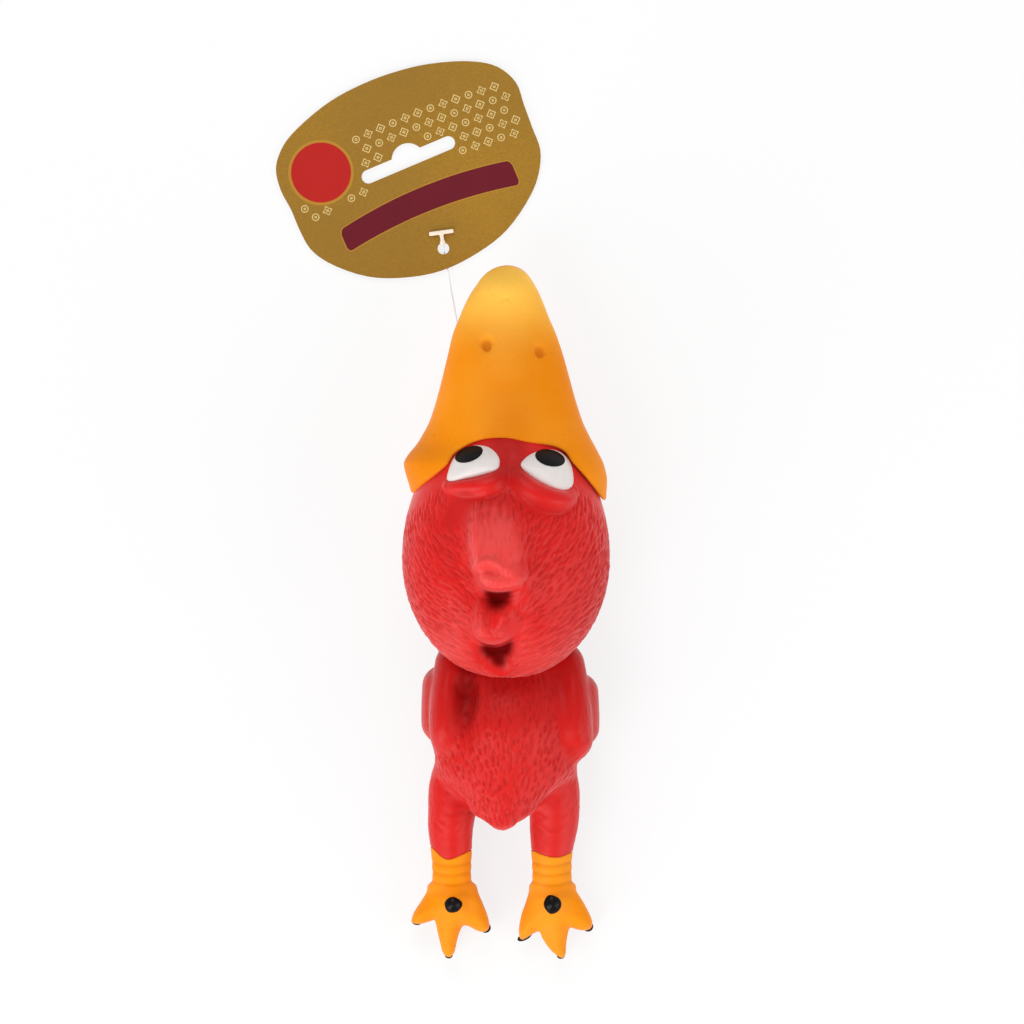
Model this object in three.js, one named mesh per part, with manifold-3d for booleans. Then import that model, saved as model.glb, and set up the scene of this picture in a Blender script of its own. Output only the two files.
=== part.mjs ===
// A hollow latex bird for dogs, lying on its belly, with a card tag on a thin plastic thread.
// Millimetres. +Z is up, the bill points along +Y, +X is the right side seen from above.

import * as THREE from 'three';
import { mergeVertices } from 'three/addons/utils/BufferGeometryUtils.js';
import Module from 'manifold-3d';

const wasm = await Module();
wasm.setup();

// Sizes shared by every piece
const seatGap = 0.3;
const skinWall = 2;
const fillingClearance = 0.5;
const flatDepth = 0.5;
const overrun = 6;

// Head: a globe, longer towards the bill
const headHalfWidth = 33.4;
const headHalfDepth = 30;
const headRearLength = 39.2;
const headFrontLength = 46;
const headY = 17.5;
const headZ = headHalfDepth - flatDepth;

// Crest: three soft lobes that overlap like tiles down the back of the head
const crestHalfWidth = 9.6;
const crestRise = 5.6;
const crestSink = 5;
const crestShift = -2.2;
const crestRound = 5;
// Columns: rear end and front end as shares of the head's rear length, width, rise, sideways shift
const crestLobeShares = [
  [-0.24, 0.74, 1, 1, 1],
  [-0.7, 0.14, 0.84, 0.95, 1.9],
  [-1, -0.34, 0.68, 0.85, 1.2],
];

// Bill: a long cone that starts as a brim over the forehead
const brimY = 55.8;
const brimDrop = 20.5;
const brimBend = 2.6;
const billHalfWidth = 32.2;
const billRise = 27.5;
const billDrop = 27;
const billRear = 36;
const billTip = 111.75;
const billTipRound = 9;
const billRearRound = 5;
const billZ = 29;
const mouthRearZ = 30;
const mouthTipZ = 22.6;
// Columns: place along, half width, rise, drop, sideways shift, lift
const billShares = [
  [0, 0.93, 1, 1, 0, 0],
  [0.11, 1, 0.985, 0.97, 0, 0],
  [0.165, 0.99, 0.89, 0.82, 0, 0],
  [0.23, 0.897, 0.764, 0.68, 0, 0],
  [0.3, 0.804, 0.66, 0.57, 0, 0],
  [0.44, 0.69, 0.545, 0.46, 0, -0.025],
  [0.64, 0.565, 0.425, 0.36, -0.005, -0.09],
  [0.775, 0.45, 0.345, 0.31, -0.015, -0.145],
  [0.92, 0.3, 0.25, 0.24, 0.01, -0.22],
  [1, 0.285, 0.2, 0.2, 0.02, -0.27],
];
const nostrilLength = 4.6;
const nostrilWidth = 3.2;
const nostrilDepth = 1.4;
// Columns: sideways as a share of the bill's half width, place along the bill
const nostrilShares = [
  [-0.2, 0.664],
  [0.35, 0.64],
];

// Eyes: raised domes with a pupil each, in a swollen lid
const eyeHalfWidth = 8.6;
const eyeHalfDepth = 7;
const eyeSink = 1.4;
const eyeLean = 27;
const lidWidth = 2;
const lidPouch = 3.4;
const lidHalfDepth = 5.5;
const lidSink = 2.8;
const pupilHalfWidth = 4.7;
const pupilHalfHeight = 2.5;
const pupilRise = 0.6;
const leftEye = { x: -10.3, y: 48.1, halfHeight: 5.5, tilt: 18, pupilX: -1.6, pupilY: 2.6 };
const rightEye = { x: 13.5, y: 45.8, halfHeight: 6.8, tilt: -15, pupilX: 0.6, pupilY: 3.6 };

// Torso: from the neck inside the head to the pointed tail over the legs
const torsoHalfWidth = 22.8;
const torsoHalfDepth = 21;
const torsoFront = 4;
const torsoTail = -70.2;
const torsoFrontRound = 12;
const torsoTailRound = 5;
const torsoZ = torsoHalfDepth - flatDepth;
// Columns as for the bill
const torsoShares = [
  [0, 0.34, 0.3, 0.36, 0, 0.4],
  [0.075, 0.43, 0.38, 0.5, 0, 0.36],
  [0.15, 0.6, 0.55, 0.7, 0, 0.24],
  [0.22, 0.92, 0.74, 0.93, 0, 0.08],
  [0.32, 1, 0.88, 1, 0, 0],
  [0.45, 0.97, 0.97, 1, 0, 0],
  [0.57, 0.93, 0.91, 1, 0, 0],
  [0.66, 0.9, 0.76, 0.97, 0, 0],
  [0.76, 0.84, 0.62, 0.92, 0, 0],
  [0.87, 0.7, 0.5, 0.8, 0, 0],
  [1, 0.5, 0.42, 0.65, 0, 0],
];

// Wings: a round arm along the back and a blade lower down the flank
const wingTop = -10;
const armHalfWidth = 5.6;
const armHalfDepth = 8.5;
const armZ = 28;
const armRound = 5;
const bladeHalfWidth = 6.5;
const bladeHalfDepth = 11.5;
const bladeRound = 6;
const bladeZ = 16.5;
// Each arm splays outwards to its end by a share of its half width
const leftWing = {
  armX: -17.4, splayShare: -0.34, armEnd: -46.2,
  bladeX: -20.8, bladeTop: -17.2, bladeEnd: -42.6,
};
const rightWing = {
  armX: 19.6, splayShare: 0.56, armEnd: -46.6,
  bladeX: 23.6, bladeTop: -19.6, bladeEnd: -44,
};
// Columns as for the bill
const armShares = [
  [0, 0.7, 0.6, 1, 0.1, -0.25],
  [0.25, 0.95, 0.9, 1, 0, -0.05],
  [0.6, 1, 1, 1, 0, 0],
  [1, 0.7, 0.8, 1, 0, -0.1],
];

// Legs and ankles, one form from the hip to the palm of the foot
const legHalfWidth = 9.4;
const legHalfDepth = 8.6;
const hipY = -46;
const ankleY = -93;
const legZ = 12.6;
const legRound = 6;
const paintY = -77.6;
const paintNotch = 2.6;
const leftLegX = -17.5;
const rightLegX = 15.2;
// Columns as for the bill, from the ankle to the hip
const leftLegShares = [
  [0, 0.66, 0.62, 0.62, 0, -0.3],
  [0.17, 0.67, 0.7, 0.72, 0, -0.1],
  [0.33, 0.7, 0.78, 0.8, -0.01, 0],
  [0.49, 0.77, 0.86, 0.88, -0.04, 0.06],
  [0.62, 0.84, 0.95, 0.96, 0.03, 0.1],
  [0.79, 0.96, 1, 1, 0.18, 0.16],
  [1, 1, 1, 1, 0.48, 0.22],
];
const rightLegShares = [
  [0, 0.67, 0.62, 0.62, -0.04, -0.3],
  [0.17, 0.68, 0.7, 0.72, -0.04, -0.1],
  [0.33, 0.71, 0.78, 0.8, -0.04, 0],
  [0.49, 0.82, 0.86, 0.88, 0.02, 0.06],
  [0.62, 0.87, 0.95, 0.96, 0.04, 0.1],
  [0.79, 0.95, 1, 1, -0.06, 0.16],
  [1, 1, 1, 1, -0.34, 0.22],
];

// Feet: a palm, three tapering toes, a rear toe that points up, and a black claw on each
const palmHalfWidth = 8.4;
const palmHalfLength = 8;
const palmHalfDepth = 5.6;
const palmZ = 7.4;
const toeLength = 17.9;
const toeHalfWidth = 5;
const toeHalfDepth = 4.2;
const toeTipRound = 2.4;
const toeDip = 8;
const clawLength = 2.6;
const clawHalfWidth = 1.5;
const clawHalfDepth = 1.2;
const rearToeRadius = 4.4;
const rearToeTop = 15.4;
const rearClawHalfWidth = 2.8;
const rearClawRise = 1.6;
const leftFoot = { x: -17.2, y: -93.3, headings: [-61, -4, 56] };
const rightFoot = { x: 14.9, y: -93.65, headings: [-41, 10, 55] };
const leftToeShares = [0.82, 0.97, 0.8];
const rightToeShares = [0.88, 1, 0.86];
// Columns as for the bill, from the palm to the tip
const toeShares = [
  [0, 1, 1, 1, 0, 0],
  [0.3, 0.9, 0.95, 0.95, 0, 0],
  [0.6, 0.72, 0.8, 0.8, 0, 0],
  [0.85, 0.5, 0.6, 0.6, 0, 0],
  [1, 0.4, 0.45, 0.45, 0, 0],
];

// Squeaker: a flanged plug in the belly with a reed under its cap
const squeakerY = -41;
const flangeRadius = 6.5;
const flangeThickness = 1.2;
const flangeRecess = 0.8;
const barrelRadius = 4.5;
const barrelHeight = 8.2;
const chamberRadius = 3.3;
const chamberFloor = 1.2;
const airHoleRadius = 1.5;
const capThickness = 1;
const capPlug = 1.3;
const collarHeight = 7;
const reedWidth = 2.4;
const reedThickness = 0.3;

// Thread: its route by hand, from the bill's flank to the card's hole
const threadDiameter = 0.5;
const threadSides = 8;
const threadSteps = 34;
const threadRoute = [
  [-15.1, 90, 21.2],
  [-15.35, 91.4, 19.7],
  [-15.67, 93.1, 17.6],
  [-16.07, 95.25, 14.7],
  [-16.5, 97.6, 11.3],
  [-16.92, 99.85, 7.9],
  [-17.32, 102, 4.8],
  [-17.69, 104, 2.35],
  [-18.02, 105.8, 0.95],
  [-18.37, 107.7, 0.4],
  [-18.77, 109.85, 0.3],
  [-19.3, 112.7, 0.3],
  [-19.76, 115.15, 0.32],
  [-19.98, 116.3, 0.74],
  [-20.17, 117.35, 1.5],
  [-20.35, 118.3, 2.1],
].map((point) => new THREE.Vector3(...point));
const stubRadius = 0.45;
const barRadius = 0.65;
const barLength = 8;
const barDepth = 5.8;
const barHeading = -12;

// Paddle: the flat T of the fastener, lying on the card
const paddleWidth = 8;
const paddleArm = 1.35;
const paddleStem = 3.4;
const paddleThickness = 1;
const paddleTilt = 8;

// Card tag, placed by its round hole
const cardThickness = 0.5;
const cardHalfLength = 41.8;
const cardHalfWidth = 32.8;
const cardTilt = 22.9;
const cardHoleX = -0.7;
const cardHoleInset = 6.4;
const cardHoleRadius = 1.9;
const holeBehindThread = 0.85;
const slotLength = 32.4;
const slotWidth = 4.4;
const slotHumpRadius = 5.4;
const slotRise = 4.4;
// The outline, as shares of the card's half length and half width, anticlockwise from the right
const cardOutlineShares = [
  [0.98, -0.05],
  [0.99, 0.2],
  [1, 0.42],
  [0.92, 0.63],
  [0.765, 0.775],
  [0.44, 0.925],
  [0.16, 0.985],
  [-0.1, 0.998],
  [-0.38, 0.965],
  [-0.685, 0.85],
  [-0.845, 0.745],
  [-0.965, 0.575],
  [-1, 0.35],
  [-0.985, 0.13],
  [-0.985, -0.09],
  [-0.965, -0.3],
  [-0.88, -0.49],
  [-0.64, -0.77],
  [-0.37, -0.925],
  [-0.09, -1],
  [0.22, -0.975],
  [0.49, -0.88],
  [0.77, -0.65],
  [0.89, -0.485],
  [0.97, -0.28],
];

// Finishes
const finish = (colour, roughness) =>
  new THREE.MeshStandardMaterial({ color: colour, roughness, metalness: 0 });
const redLatex = finish(0xd8232c, 0.55);
const orangeLatex = finish(0xf79a1e, 0.55);
const whitePaint = finish(0xf2f0ec, 0.4);
const blackPaint = finish(0x1b1a1c, 0.35);
const squeakerPlastic = finish(0xf4f4f2, 0.35);
const wadding = finish(0xf3f2ee, 0.95);
const clearPlastic = finish(0xe6e8ea, 0.3);
const goldCard = finish(0xa07b2c, 0.5);

/** A manifold solid from a closed three.js geometry, with its shared vertices merged. */
function solid(geometry) {
  const bare = geometry.clone();
  bare.deleteAttribute('normal');
  bare.deleteAttribute('uv');
  const merged = mergeVertices(bare);
  return new wasm.Manifold(new wasm.Mesh({
    numProp: 3,
    vertProperties: new Float32Array(merged.attributes.position.array),
    triVerts: new Uint32Array(merged.index.array),
  }));
}

/** A named mesh from a manifold solid. */
function piece(name, body, material) {
  const mesh = body.getMesh();
  const geometry = new THREE.BufferGeometry();
  geometry.setAttribute('position', new THREE.BufferAttribute(mesh.vertProperties, 3));
  geometry.setIndex(new THREE.BufferAttribute(mesh.triVerts, 1));
  geometry.computeVertexNormals();
  const made = new THREE.Mesh(geometry, material);
  made.name = name;
  return made;
}

/** One column of a share table at a place along, by a smooth curve through its rows. */
function shareAt(rows, column, place) {
  const last = rows.length - 1;
  let i = 0;
  while (i < last - 1 && place > rows[i + 1][0]) i += 1;
  const slope = (k) => {
    const a = rows[Math.max(k - 1, 0)];
    const b = rows[Math.min(k + 1, last)];
    return (b[column] - a[column]) / (b[0] - a[0]);
  };
  const span = rows[i + 1][0] - rows[i][0];
  const u = (place - rows[i][0]) / span;
  const u2 = u * u;
  const u3 = u2 * u;
  return (2 * u3 - 3 * u2 + 1) * rows[i][column] + (u3 - 2 * u2 + u) * span * slope(i)
    + (3 * u2 - 2 * u3) * rows[i + 1][column] + (u3 - u2) * span * slope(i + 1);
}

/** How far a round end has opened, from 0 at its pole to 1 a round length away. */
function roundEnd(distance, length) {
  const u = Math.min(Math.max(distance / length, 0), 1);
  return Math.sqrt(1 - (1 - u) ** 2);
}

/**
 * A soft form strung along Y between two round ends: each section is two half ellipses, one for
 * the rise and one for the drop. A positive grow is a skin that far outside it, a negative one
 * is its hollow.
 */
function softForm(form, grow = 0) {
  const { rear, front, halfWidth, rise, drop, rearRound, frontRound, x, z, shares, sides, rings } = form;
  const low = rear - grow;
  const high = front + grow;
  const points = [];
  const faces = [];
  for (let ring = 0; ring <= rings; ring += 1) {
    const y = low + (high - low) * (1 - Math.cos(Math.PI * ring / rings)) / 2;
    const place = Math.min(Math.max((y - rear) / (front - rear), 0), 1);
    const open = roundEnd(y - low, rearRound + grow) * roundEnd(high - y, frontRound + grow);
    const wide = (halfWidth * shareAt(shares, 1, place) + grow) * open;
    const up = (rise * shareAt(shares, 2, place) + grow) * open;
    const down = (drop * shareAt(shares, 3, place) + grow) * open;
    const centreX = x + halfWidth * shareAt(shares, 4, place);
    const centreZ = z + rise * shareAt(shares, 5, place);
    const atPole = ring === 0 || ring === rings;
    for (let side = 0; side < (atPole ? 1 : sides); side += 1) {
      const angle = 2 * Math.PI * side / sides;
      const lift = Math.sin(angle) * (Math.sin(angle) > 0 ? up : down);
      points.push(centreX + (atPole ? 0 : wide * Math.cos(angle)), y, centreZ + (atPole ? 0 : lift));
    }
  }
  const at = (ring, side) => 1 + (ring - 1) * sides + side % sides;
  const endPole = 1 + (rings - 1) * sides;
  for (let side = 0; side < sides; side += 1) {
    faces.push(0, at(1, side), at(1, side + 1));
    for (let ring = 1; ring < rings - 1; ring += 1) {
      faces.push(at(ring, side), at(ring + 1, side), at(ring + 1, side + 1));
      faces.push(at(ring, side), at(ring + 1, side + 1), at(ring, side + 1));
    }
    faces.push(endPole, at(rings - 1, side + 1), at(rings - 1, side));
  }
  const geometry = new THREE.BufferGeometry();
  geometry.setAttribute('position', new THREE.Float32BufferAttribute(points, 3));
  geometry.setIndex(faces);
  return geometry;
}

/** A geometry turned about Z and X, then moved to a place. */
function placed(geometry, place, turnZ = 0, turnX = 0) {
  const turn = new THREE.Euler(turnX, 0, turnZ, 'ZXY');
  const matrix = new THREE.Matrix4().makeRotationFromEuler(turn);
  matrix.setPosition(place);
  return geometry.applyMatrix4(matrix);
}

/** An ellipsoid with its own half sizes, leaned about X and turned about Z. */
function ellipsoid(halves, place, turnZ = 0, lean = 0, sides = 16, rings = 10) {
  const ball = new THREE.SphereGeometry(1, sides, rings);
  ball.rotateX(Math.PI / 2);
  return solid(placed(ball.scale(...halves), place, turnZ, lean));
}

/** A round bar between two points. */
function rod(from, to, radius, sides = 10) {
  const along = new THREE.Vector3().subVectors(to, from);
  const bar = new THREE.CylinderGeometry(radius, radius, along.length(), sides);
  const turn = new THREE.Quaternion().setFromUnitVectors(new THREE.Vector3(0, 1, 0), along.clone().normalize());
  bar.applyQuaternion(turn);
  const middle = new THREE.Vector3().addVectors(from, to).multiplyScalar(0.5);
  return solid(bar.translate(middle.x, middle.y, middle.z));
}

/** A turned piece: a closed profile of radius and height, revolved about a vertical axis. */
function turned(profile, place, sides = 18) {
  const points = [...profile, profile[0]].map(([radius, height]) => new THREE.Vector2(radius, height));
  const lathe = new THREE.LatheGeometry(points, sides);
  lathe.rotateX(Math.PI / 2);
  return solid(lathe.translate(place.x, place.y, place.z));
}

/** Everything below the floor, which the lowest skin is cut flat by. */
function belowFloor() {
  const reach = 2 * (billTip - ankleY);
  const block = new THREE.BoxGeometry(reach, reach, reach);
  return solid(block.translate(0, 0, -reach / 2));
}

// The main forms, with the facets that each is drawn with
const evenShares = [[0, 1, 1, 1, 0, 0], [1, 1, 1, 1, 0, 0]];
const headForm = {
  rear: headY - headRearLength, front: headY + headFrontLength,
  rearRound: headRearLength, frontRound: headFrontLength,
  halfWidth: headHalfWidth, rise: headHalfDepth, drop: headHalfDepth,
  x: 0, z: headZ, shares: evenShares, sides: 28, rings: 18,
};
const billForm = {
  rear: billRear, front: billTip, rearRound: billRearRound, frontRound: billTipRound,
  halfWidth: billHalfWidth, rise: billRise, drop: billDrop,
  x: 0, z: billZ, shares: billShares, sides: 24, rings: 18,
};
const torsoForm = {
  rear: torsoTail, front: torsoFront, rearRound: torsoTailRound, frontRound: torsoFrontRound,
  halfWidth: torsoHalfWidth, rise: torsoHalfDepth, drop: torsoHalfDepth,
  x: 0, z: torsoZ, shares: torsoShares, sides: 24, rings: 16,
};
const legForm = (x, shares) => ({
  rear: ankleY, front: hipY, rearRound: legRound, frontRound: legRound,
  halfWidth: legHalfWidth, rise: legHalfDepth, drop: legHalfDepth,
  x, z: legZ, shares, sides: 14, rings: 10,
});
const leftLegForm = legForm(leftLegX, leftLegShares);
const rightLegForm = legForm(rightLegX, rightLegShares);

/** Height of the head's skin above a point in plan. */
function headTop(x, y) {
  const along = (y - headY) / (y > headY ? headFrontLength : headRearLength);
  const across = x / headHalfWidth;
  return headZ + headHalfDepth * Math.sqrt(Math.max(1 - along ** 2 - across ** 2, 0));
}

/** One lobe of the crest, its centreline lying on the head and its rear end standing proud. */
function crestLobe([rearShare, frontShare, widthShare, riseShare, shiftShare]) {
  const rear = headY + headRearLength * rearShare;
  const front = headY + headRearLength * frontShare;
  const rise = crestRise * riseShare;
  const centreX = crestShift * shiftShare;
  const rows = [0, 0.3, 0.6, 1].map((place) => {
    const y = rear + (front - rear) * place;
    const swell = 1 - 0.6 * place;
    const lift = (headTop(centreX, Math.max(y, headForm.rear + crestRound)) - headZ) / rise;
    return [place, swell, swell, 1, 0.5 * place, lift];
  });
  return solid(softForm({
    rear, front, rearRound: crestRound, frontRound: crestRound,
    halfWidth: crestHalfWidth * widthShare, rise, drop: crestSink,
    x: centreX, z: headZ, shares: rows, sides: 12, rings: 8,
  }));
}

/** An eye's dome, or what is grown round it, leaning forward with the head's surface. */
function eyeDome(eye, grow = 0) {
  const z = headTop(eye.x, eye.y) - eyeSink;
  return ellipsoid(
    [eyeHalfWidth + grow, eye.halfHeight + grow, eyeHalfDepth + grow],
    new THREE.Vector3(eye.x, eye.y, z),
    THREE.MathUtils.degToRad(eye.tilt), THREE.MathUtils.degToRad(-eyeLean),
  );
}

/** The swollen lid round the lower side of an eye. */
function eyeLid(eye, grow = 0) {
  const y = eye.y - lidPouch;
  const z = headTop(eye.x, y) - lidSink;
  return ellipsoid(
    [eyeHalfWidth + lidWidth + grow, eye.halfHeight + lidWidth + grow, lidHalfDepth + grow],
    new THREE.Vector3(eye.x, y, z),
    THREE.MathUtils.degToRad(eye.tilt), THREE.MathUtils.degToRad(-eyeLean),
  );
}

/** The pupil: a thin lens on the dome, cut out by an upright elliptic cylinder. */
function eyePupil(eye, grow = 0) {
  const cutter = new THREE.CylinderGeometry(1, 1, 1, 18);
  cutter.rotateX(Math.PI / 2);
  cutter.scale(pupilHalfWidth + grow, pupilHalfHeight + grow, 2 * eyeHalfDepth);
  const z = headTop(eye.x, eye.y) + eyeHalfDepth;
  const place = new THREE.Vector3(eye.x + eye.pupilX, eye.y + eye.pupilY, z);
  const column = solid(placed(cutter, place, THREE.MathUtils.degToRad(eye.tilt)));
  const lens = eyeDome(eye, seatGap + pupilRise + grow).intersect(column);
  return grow > 0 ? lens : lens.subtract(eyeDome(eye, seatGap));
}

/** All that lies behind the brim's arch, cut away from the bill in plan. */
function behindBrim() {
  const steps = 24;
  const shape = new THREE.Shape();
  const side = billHalfWidth + overrun;
  const fall = (across) => brimDrop * Math.abs(across / billHalfWidth) ** brimBend;
  shape.moveTo(side, brimY - fall(side) - overrun);
  for (let i = 0; i <= steps; i += 1) {
    const across = side * (1 - 2 * i / steps);
    shape.lineTo(across, brimY - fall(across));
  }
  shape.lineTo(-side, brimY - fall(side) - overrun);
  const height = billZ + billRise + overrun;
  const block = new THREE.ExtrudeGeometry(shape, { depth: height + overrun, bevelEnabled: false });
  return solid(block.translate(0, 0, -overrun));
}

/** Everything above the sloping mouth line, raised or lowered by half of the gap. */
function aboveMouth(side) {
  const run = billTip - billRear;
  const slope = Math.atan2(mouthTipZ - mouthRearZ, run);
  const reach = 2 * (run + overrun);
  const block = new THREE.BoxGeometry(reach, reach, reach);
  block.translate(0, 0, reach / 2 + side * seatGap / 2);
  return solid(placed(block, new THREE.Vector3(0, billRear, mouthRearZ), 0, slope));
}

/** All that lies on the ankle's side of a leg's paint edge, a shallow V, moved by half the gap. */
function beyondPaint(x, side) {
  const shape = new THREE.Shape();
  const edge = paintY + side * seatGap / 2;
  const half = legHalfWidth + overrun;
  shape.moveTo(x - half, ankleY - toeLength - overrun);
  shape.lineTo(x + half, ankleY - toeLength - overrun);
  shape.lineTo(x + half, edge + paintNotch / 2);
  shape.lineTo(x, edge - paintNotch / 2);
  shape.lineTo(x - half, edge + paintNotch / 2);
  const block = new THREE.ExtrudeGeometry(shape, { depth: legZ + legHalfDepth + 3 * overrun, bevelEnabled: false });
  return solid(block.translate(0, 0, -overrun));
}

/** One wing: the arm and the blade in one solid. */
function wingSolid(wing) {
  const splayed = armShares.map(([place, wide, up, down, across, lift]) =>
    [place, wide, up, down, across + wing.splayShare * (1 - place), lift]);
  const arm = {
    rear: wing.armEnd, front: wingTop, rearRound: armRound, frontRound: armRound,
    halfWidth: armHalfWidth, rise: armHalfDepth, drop: armHalfDepth,
    x: wing.armX, z: armZ, shares: splayed, sides: 14, rings: 10,
  };
  const blade = {
    rear: wing.bladeEnd, front: wing.bladeTop, rearRound: bladeRound, frontRound: bladeRound,
    halfWidth: bladeHalfWidth, rise: bladeHalfDepth, drop: bladeHalfDepth,
    x: wing.bladeX, z: bladeZ, shares: evenShares, sides: 14, rings: 10,
  };
  return solid(softForm(arm)).add(solid(softForm(blade)));
}

/** A toe, or its claw, as a form along its own heading and dipping towards the tip. */
function alongToe(foot, toe, form, grow = 0) {
  const heading = THREE.MathUtils.degToRad(foot.headings[toe]) + Math.PI;
  const dip = THREE.MathUtils.degToRad(-toeDip);
  const place = new THREE.Vector3(foot.x, foot.y, palmZ);
  return solid(placed(softForm(form, grow), place, heading, dip));
}

/** The toe's own form, for a share of the full toe length. */
const toeForm = (share) => ({
  rear: 0, front: toeLength * share, rearRound: toeHalfWidth, frontRound: toeTipRound,
  halfWidth: toeHalfWidth, rise: toeHalfDepth, drop: toeHalfDepth,
  x: 0, z: 0, shares: toeShares, sides: 8, rings: 7,
});

/** The claw at a toe's tip, its root inside the toe. */
const clawForm = (share) => ({
  rear: toeLength * share - clawLength, front: toeLength * share + clawLength / 3,
  rearRound: clawHalfWidth, frontRound: clawHalfWidth,
  halfWidth: clawHalfWidth, rise: clawHalfDepth, drop: clawHalfDepth,
  x: 0, z: -toeHalfDepth / 3, shares: evenShares, sides: 7, rings: 5,
});

/** The ball that ends the rear toe, which points straight up. */
function rearToe(foot) {
  const base = new THREE.Vector3(foot.x, foot.y, palmZ);
  return rod(base, base.clone().setZ(rearToeTop), rearToeRadius, 10);
}

/** The rear claw, a flat black dome on the rear toe. */
function rearClaw(foot) {
  const top = new THREE.Vector3(foot.x, foot.y, rearToeTop);
  return ellipsoid([rearClawHalfWidth, rearClawHalfWidth, rearClawRise], top, 0, 0, 12, 6);
}

/** What the squeaker needs free inside the torso, with the skin's collar round it. */
const squeakerBase = new THREE.Vector3(0, squeakerY, 0);
const pocketRadius = flangeRadius + seatGap;
const collarRadius = pocketRadius + skinWall;
const pocketTop = flangeRecess + flangeThickness + seatGap;
const barrelTop = flangeRecess + flangeThickness + barrelHeight;

function roundColumn(radius, low, high) {
  const base = squeakerBase;
  return rod(base.clone().setZ(low), base.clone().setZ(high), radius, 18);
}

// The hollow that the whole skin shares
const floorBlock = belowFloor();
const billHollowForm = { ...billForm, rear: brimY + skinWall, shares: billShares.map((row) => [...row]) };
const hollowStart = (billHollowForm.rear - billRear) / (billTip - billRear);
billHollowForm.shares = [0, 0.2, 0.4, 0.6, 0.8, 1].map((place) => {
  const along = hollowStart + (1 - hollowStart) * place;
  return [place, ...[1, 2, 3, 4, 5].map((column) => shareAt(billShares, column, along))];
});
const coarse = { sides: 16, rings: 11 };
const headHollow = solid(softForm({ ...headForm, ...coarse }, -skinWall));
const torsoHollow = solid(softForm({ ...torsoForm, ...coarse }, -skinWall));
const billHollow = solid(softForm({ ...billHollowForm, ...coarse }, -skinWall));
const legHollows = [leftLegForm, rightLegForm].map((form) =>
  solid(softForm({ ...form, sides: 10, rings: 8 }, -skinWall)));
const hollow = [torsoHollow, billHollow, ...legHollows].reduce((all, one) => all.add(one), headHollow);

// The same forms grown by the seat gap, which cut what sits on them
const headSeat = solid(softForm(headForm, seatGap));
const torsoSeat = solid(softForm(torsoForm, seatGap));
const eyes = [leftEye, rightEye];

/** Head: globe, crest and lids, hollow, with a seat for each eye. */
function headSkin() {
  let body = solid(softForm(headForm));
  for (const lobe of crestLobeShares) body = body.add(crestLobe(lobe));
  for (const eye of eyes) body = body.add(eyeLid(eye).subtract(eyeDome(eye, seatGap)));
  for (const eye of eyes) body = body.subtract(eyePupil(eye, seatGap));
  return body.subtract(hollow).subtract(floorBlock);
}

/** The head's outside with crest and lids, grown by the gap where the torso and bill meet it. */
const crestSeat = crestLobeShares.map((lobe) => crestLobe(lobe));

/** Both halves of the bill, before they are parted at the mouth. */
function billSkin() {
  let body = solid(softForm(billForm)).subtract(behindBrim()).subtract(headSeat).subtract(hollow);
  for (const eye of eyes) body = body.subtract(eyeDome(eye, 2 * seatGap + pupilRise));
  for (const eye of eyes) body = body.subtract(eyeLid(eye, seatGap));
  for (const [sideShare, placeShare] of nostrilShares) {
    const y = billRear + (billTip - billRear) * placeShare;
    const across = sideShare * billHalfWidth;
    const half = billHalfWidth * shareAt(billShares, 1, placeShare);
    const bend = Math.sqrt(1 - (across / half) ** 2);
    const z = billZ + billRise * (shareAt(billShares, 5, placeShare) + bend * shareAt(billShares, 2, placeShare));
    const dent = [nostrilWidth / 2, nostrilLength / 2, nostrilDepth];
    body = body.subtract(ellipsoid(dent, new THREE.Vector3(across, y, z), 0, 0, 10, 6));
  }
  return body.subtract(floorBlock);
}

/** Torso: hollow, open at the neck, with a collar for the squeaker. */
function torsoSkin() {
  let body = solid(softForm(torsoForm)).subtract(hollow).add(
    roundColumn(collarRadius, flatDepth, collarHeight).intersect(solid(softForm(torsoForm))),
  );
  body = body.subtract(roundColumn(pocketRadius, -overrun, pocketTop));
  body = body.subtract(roundColumn(barrelRadius + seatGap, -overrun, collarHeight + overrun));
  for (const lobe of crestSeat) body = body.subtract(lobe);
  return body.subtract(headSeat).subtract(floorBlock);
}

const toy = new THREE.Group();
const bill = billSkin();
const mouth = [aboveMouth(1), aboveMouth(-1)];
const threadStart = threadRoute[0];
const threadAim = new THREE.Vector3().subVectors(threadRoute[1], threadStart).normalize();
const pierceEnd = threadStart.clone().addScaledVector(threadAim, overrun);
const stubInside = threadStart.clone().addScaledVector(threadAim, -barDepth);
const pierce = rod(stubInside, pierceEnd, stubRadius + seatGap);
toy.add(piece('head', headSkin(), redLatex));
toy.add(piece('upper_bill', bill.intersect(mouth[0]), orangeLatex));
toy.add(piece('lower_bill', bill.subtract(mouth[1]).subtract(pierce), orangeLatex));
toy.add(piece('torso', torsoSkin(), redLatex));

// Eyes and pupils
[['left', leftEye], ['right', rightEye]].forEach(([side, eye]) => {
  const dome = eyeDome(eye).subtract(headSeat);
  toy.add(piece(`${side}_eye`, dome, whitePaint));
  toy.add(piece(`${side}_pupil`, eyePupil(eye), blackPaint));
});

// Wings
[['left', leftWing], ['right', rightWing]].forEach(([side, wing]) => {
  const body = wingSolid(wing).subtract(torsoSeat).subtract(headSeat).subtract(floorBlock);
  toy.add(piece(`${side}_wing`, body, redLatex));
});

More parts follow.
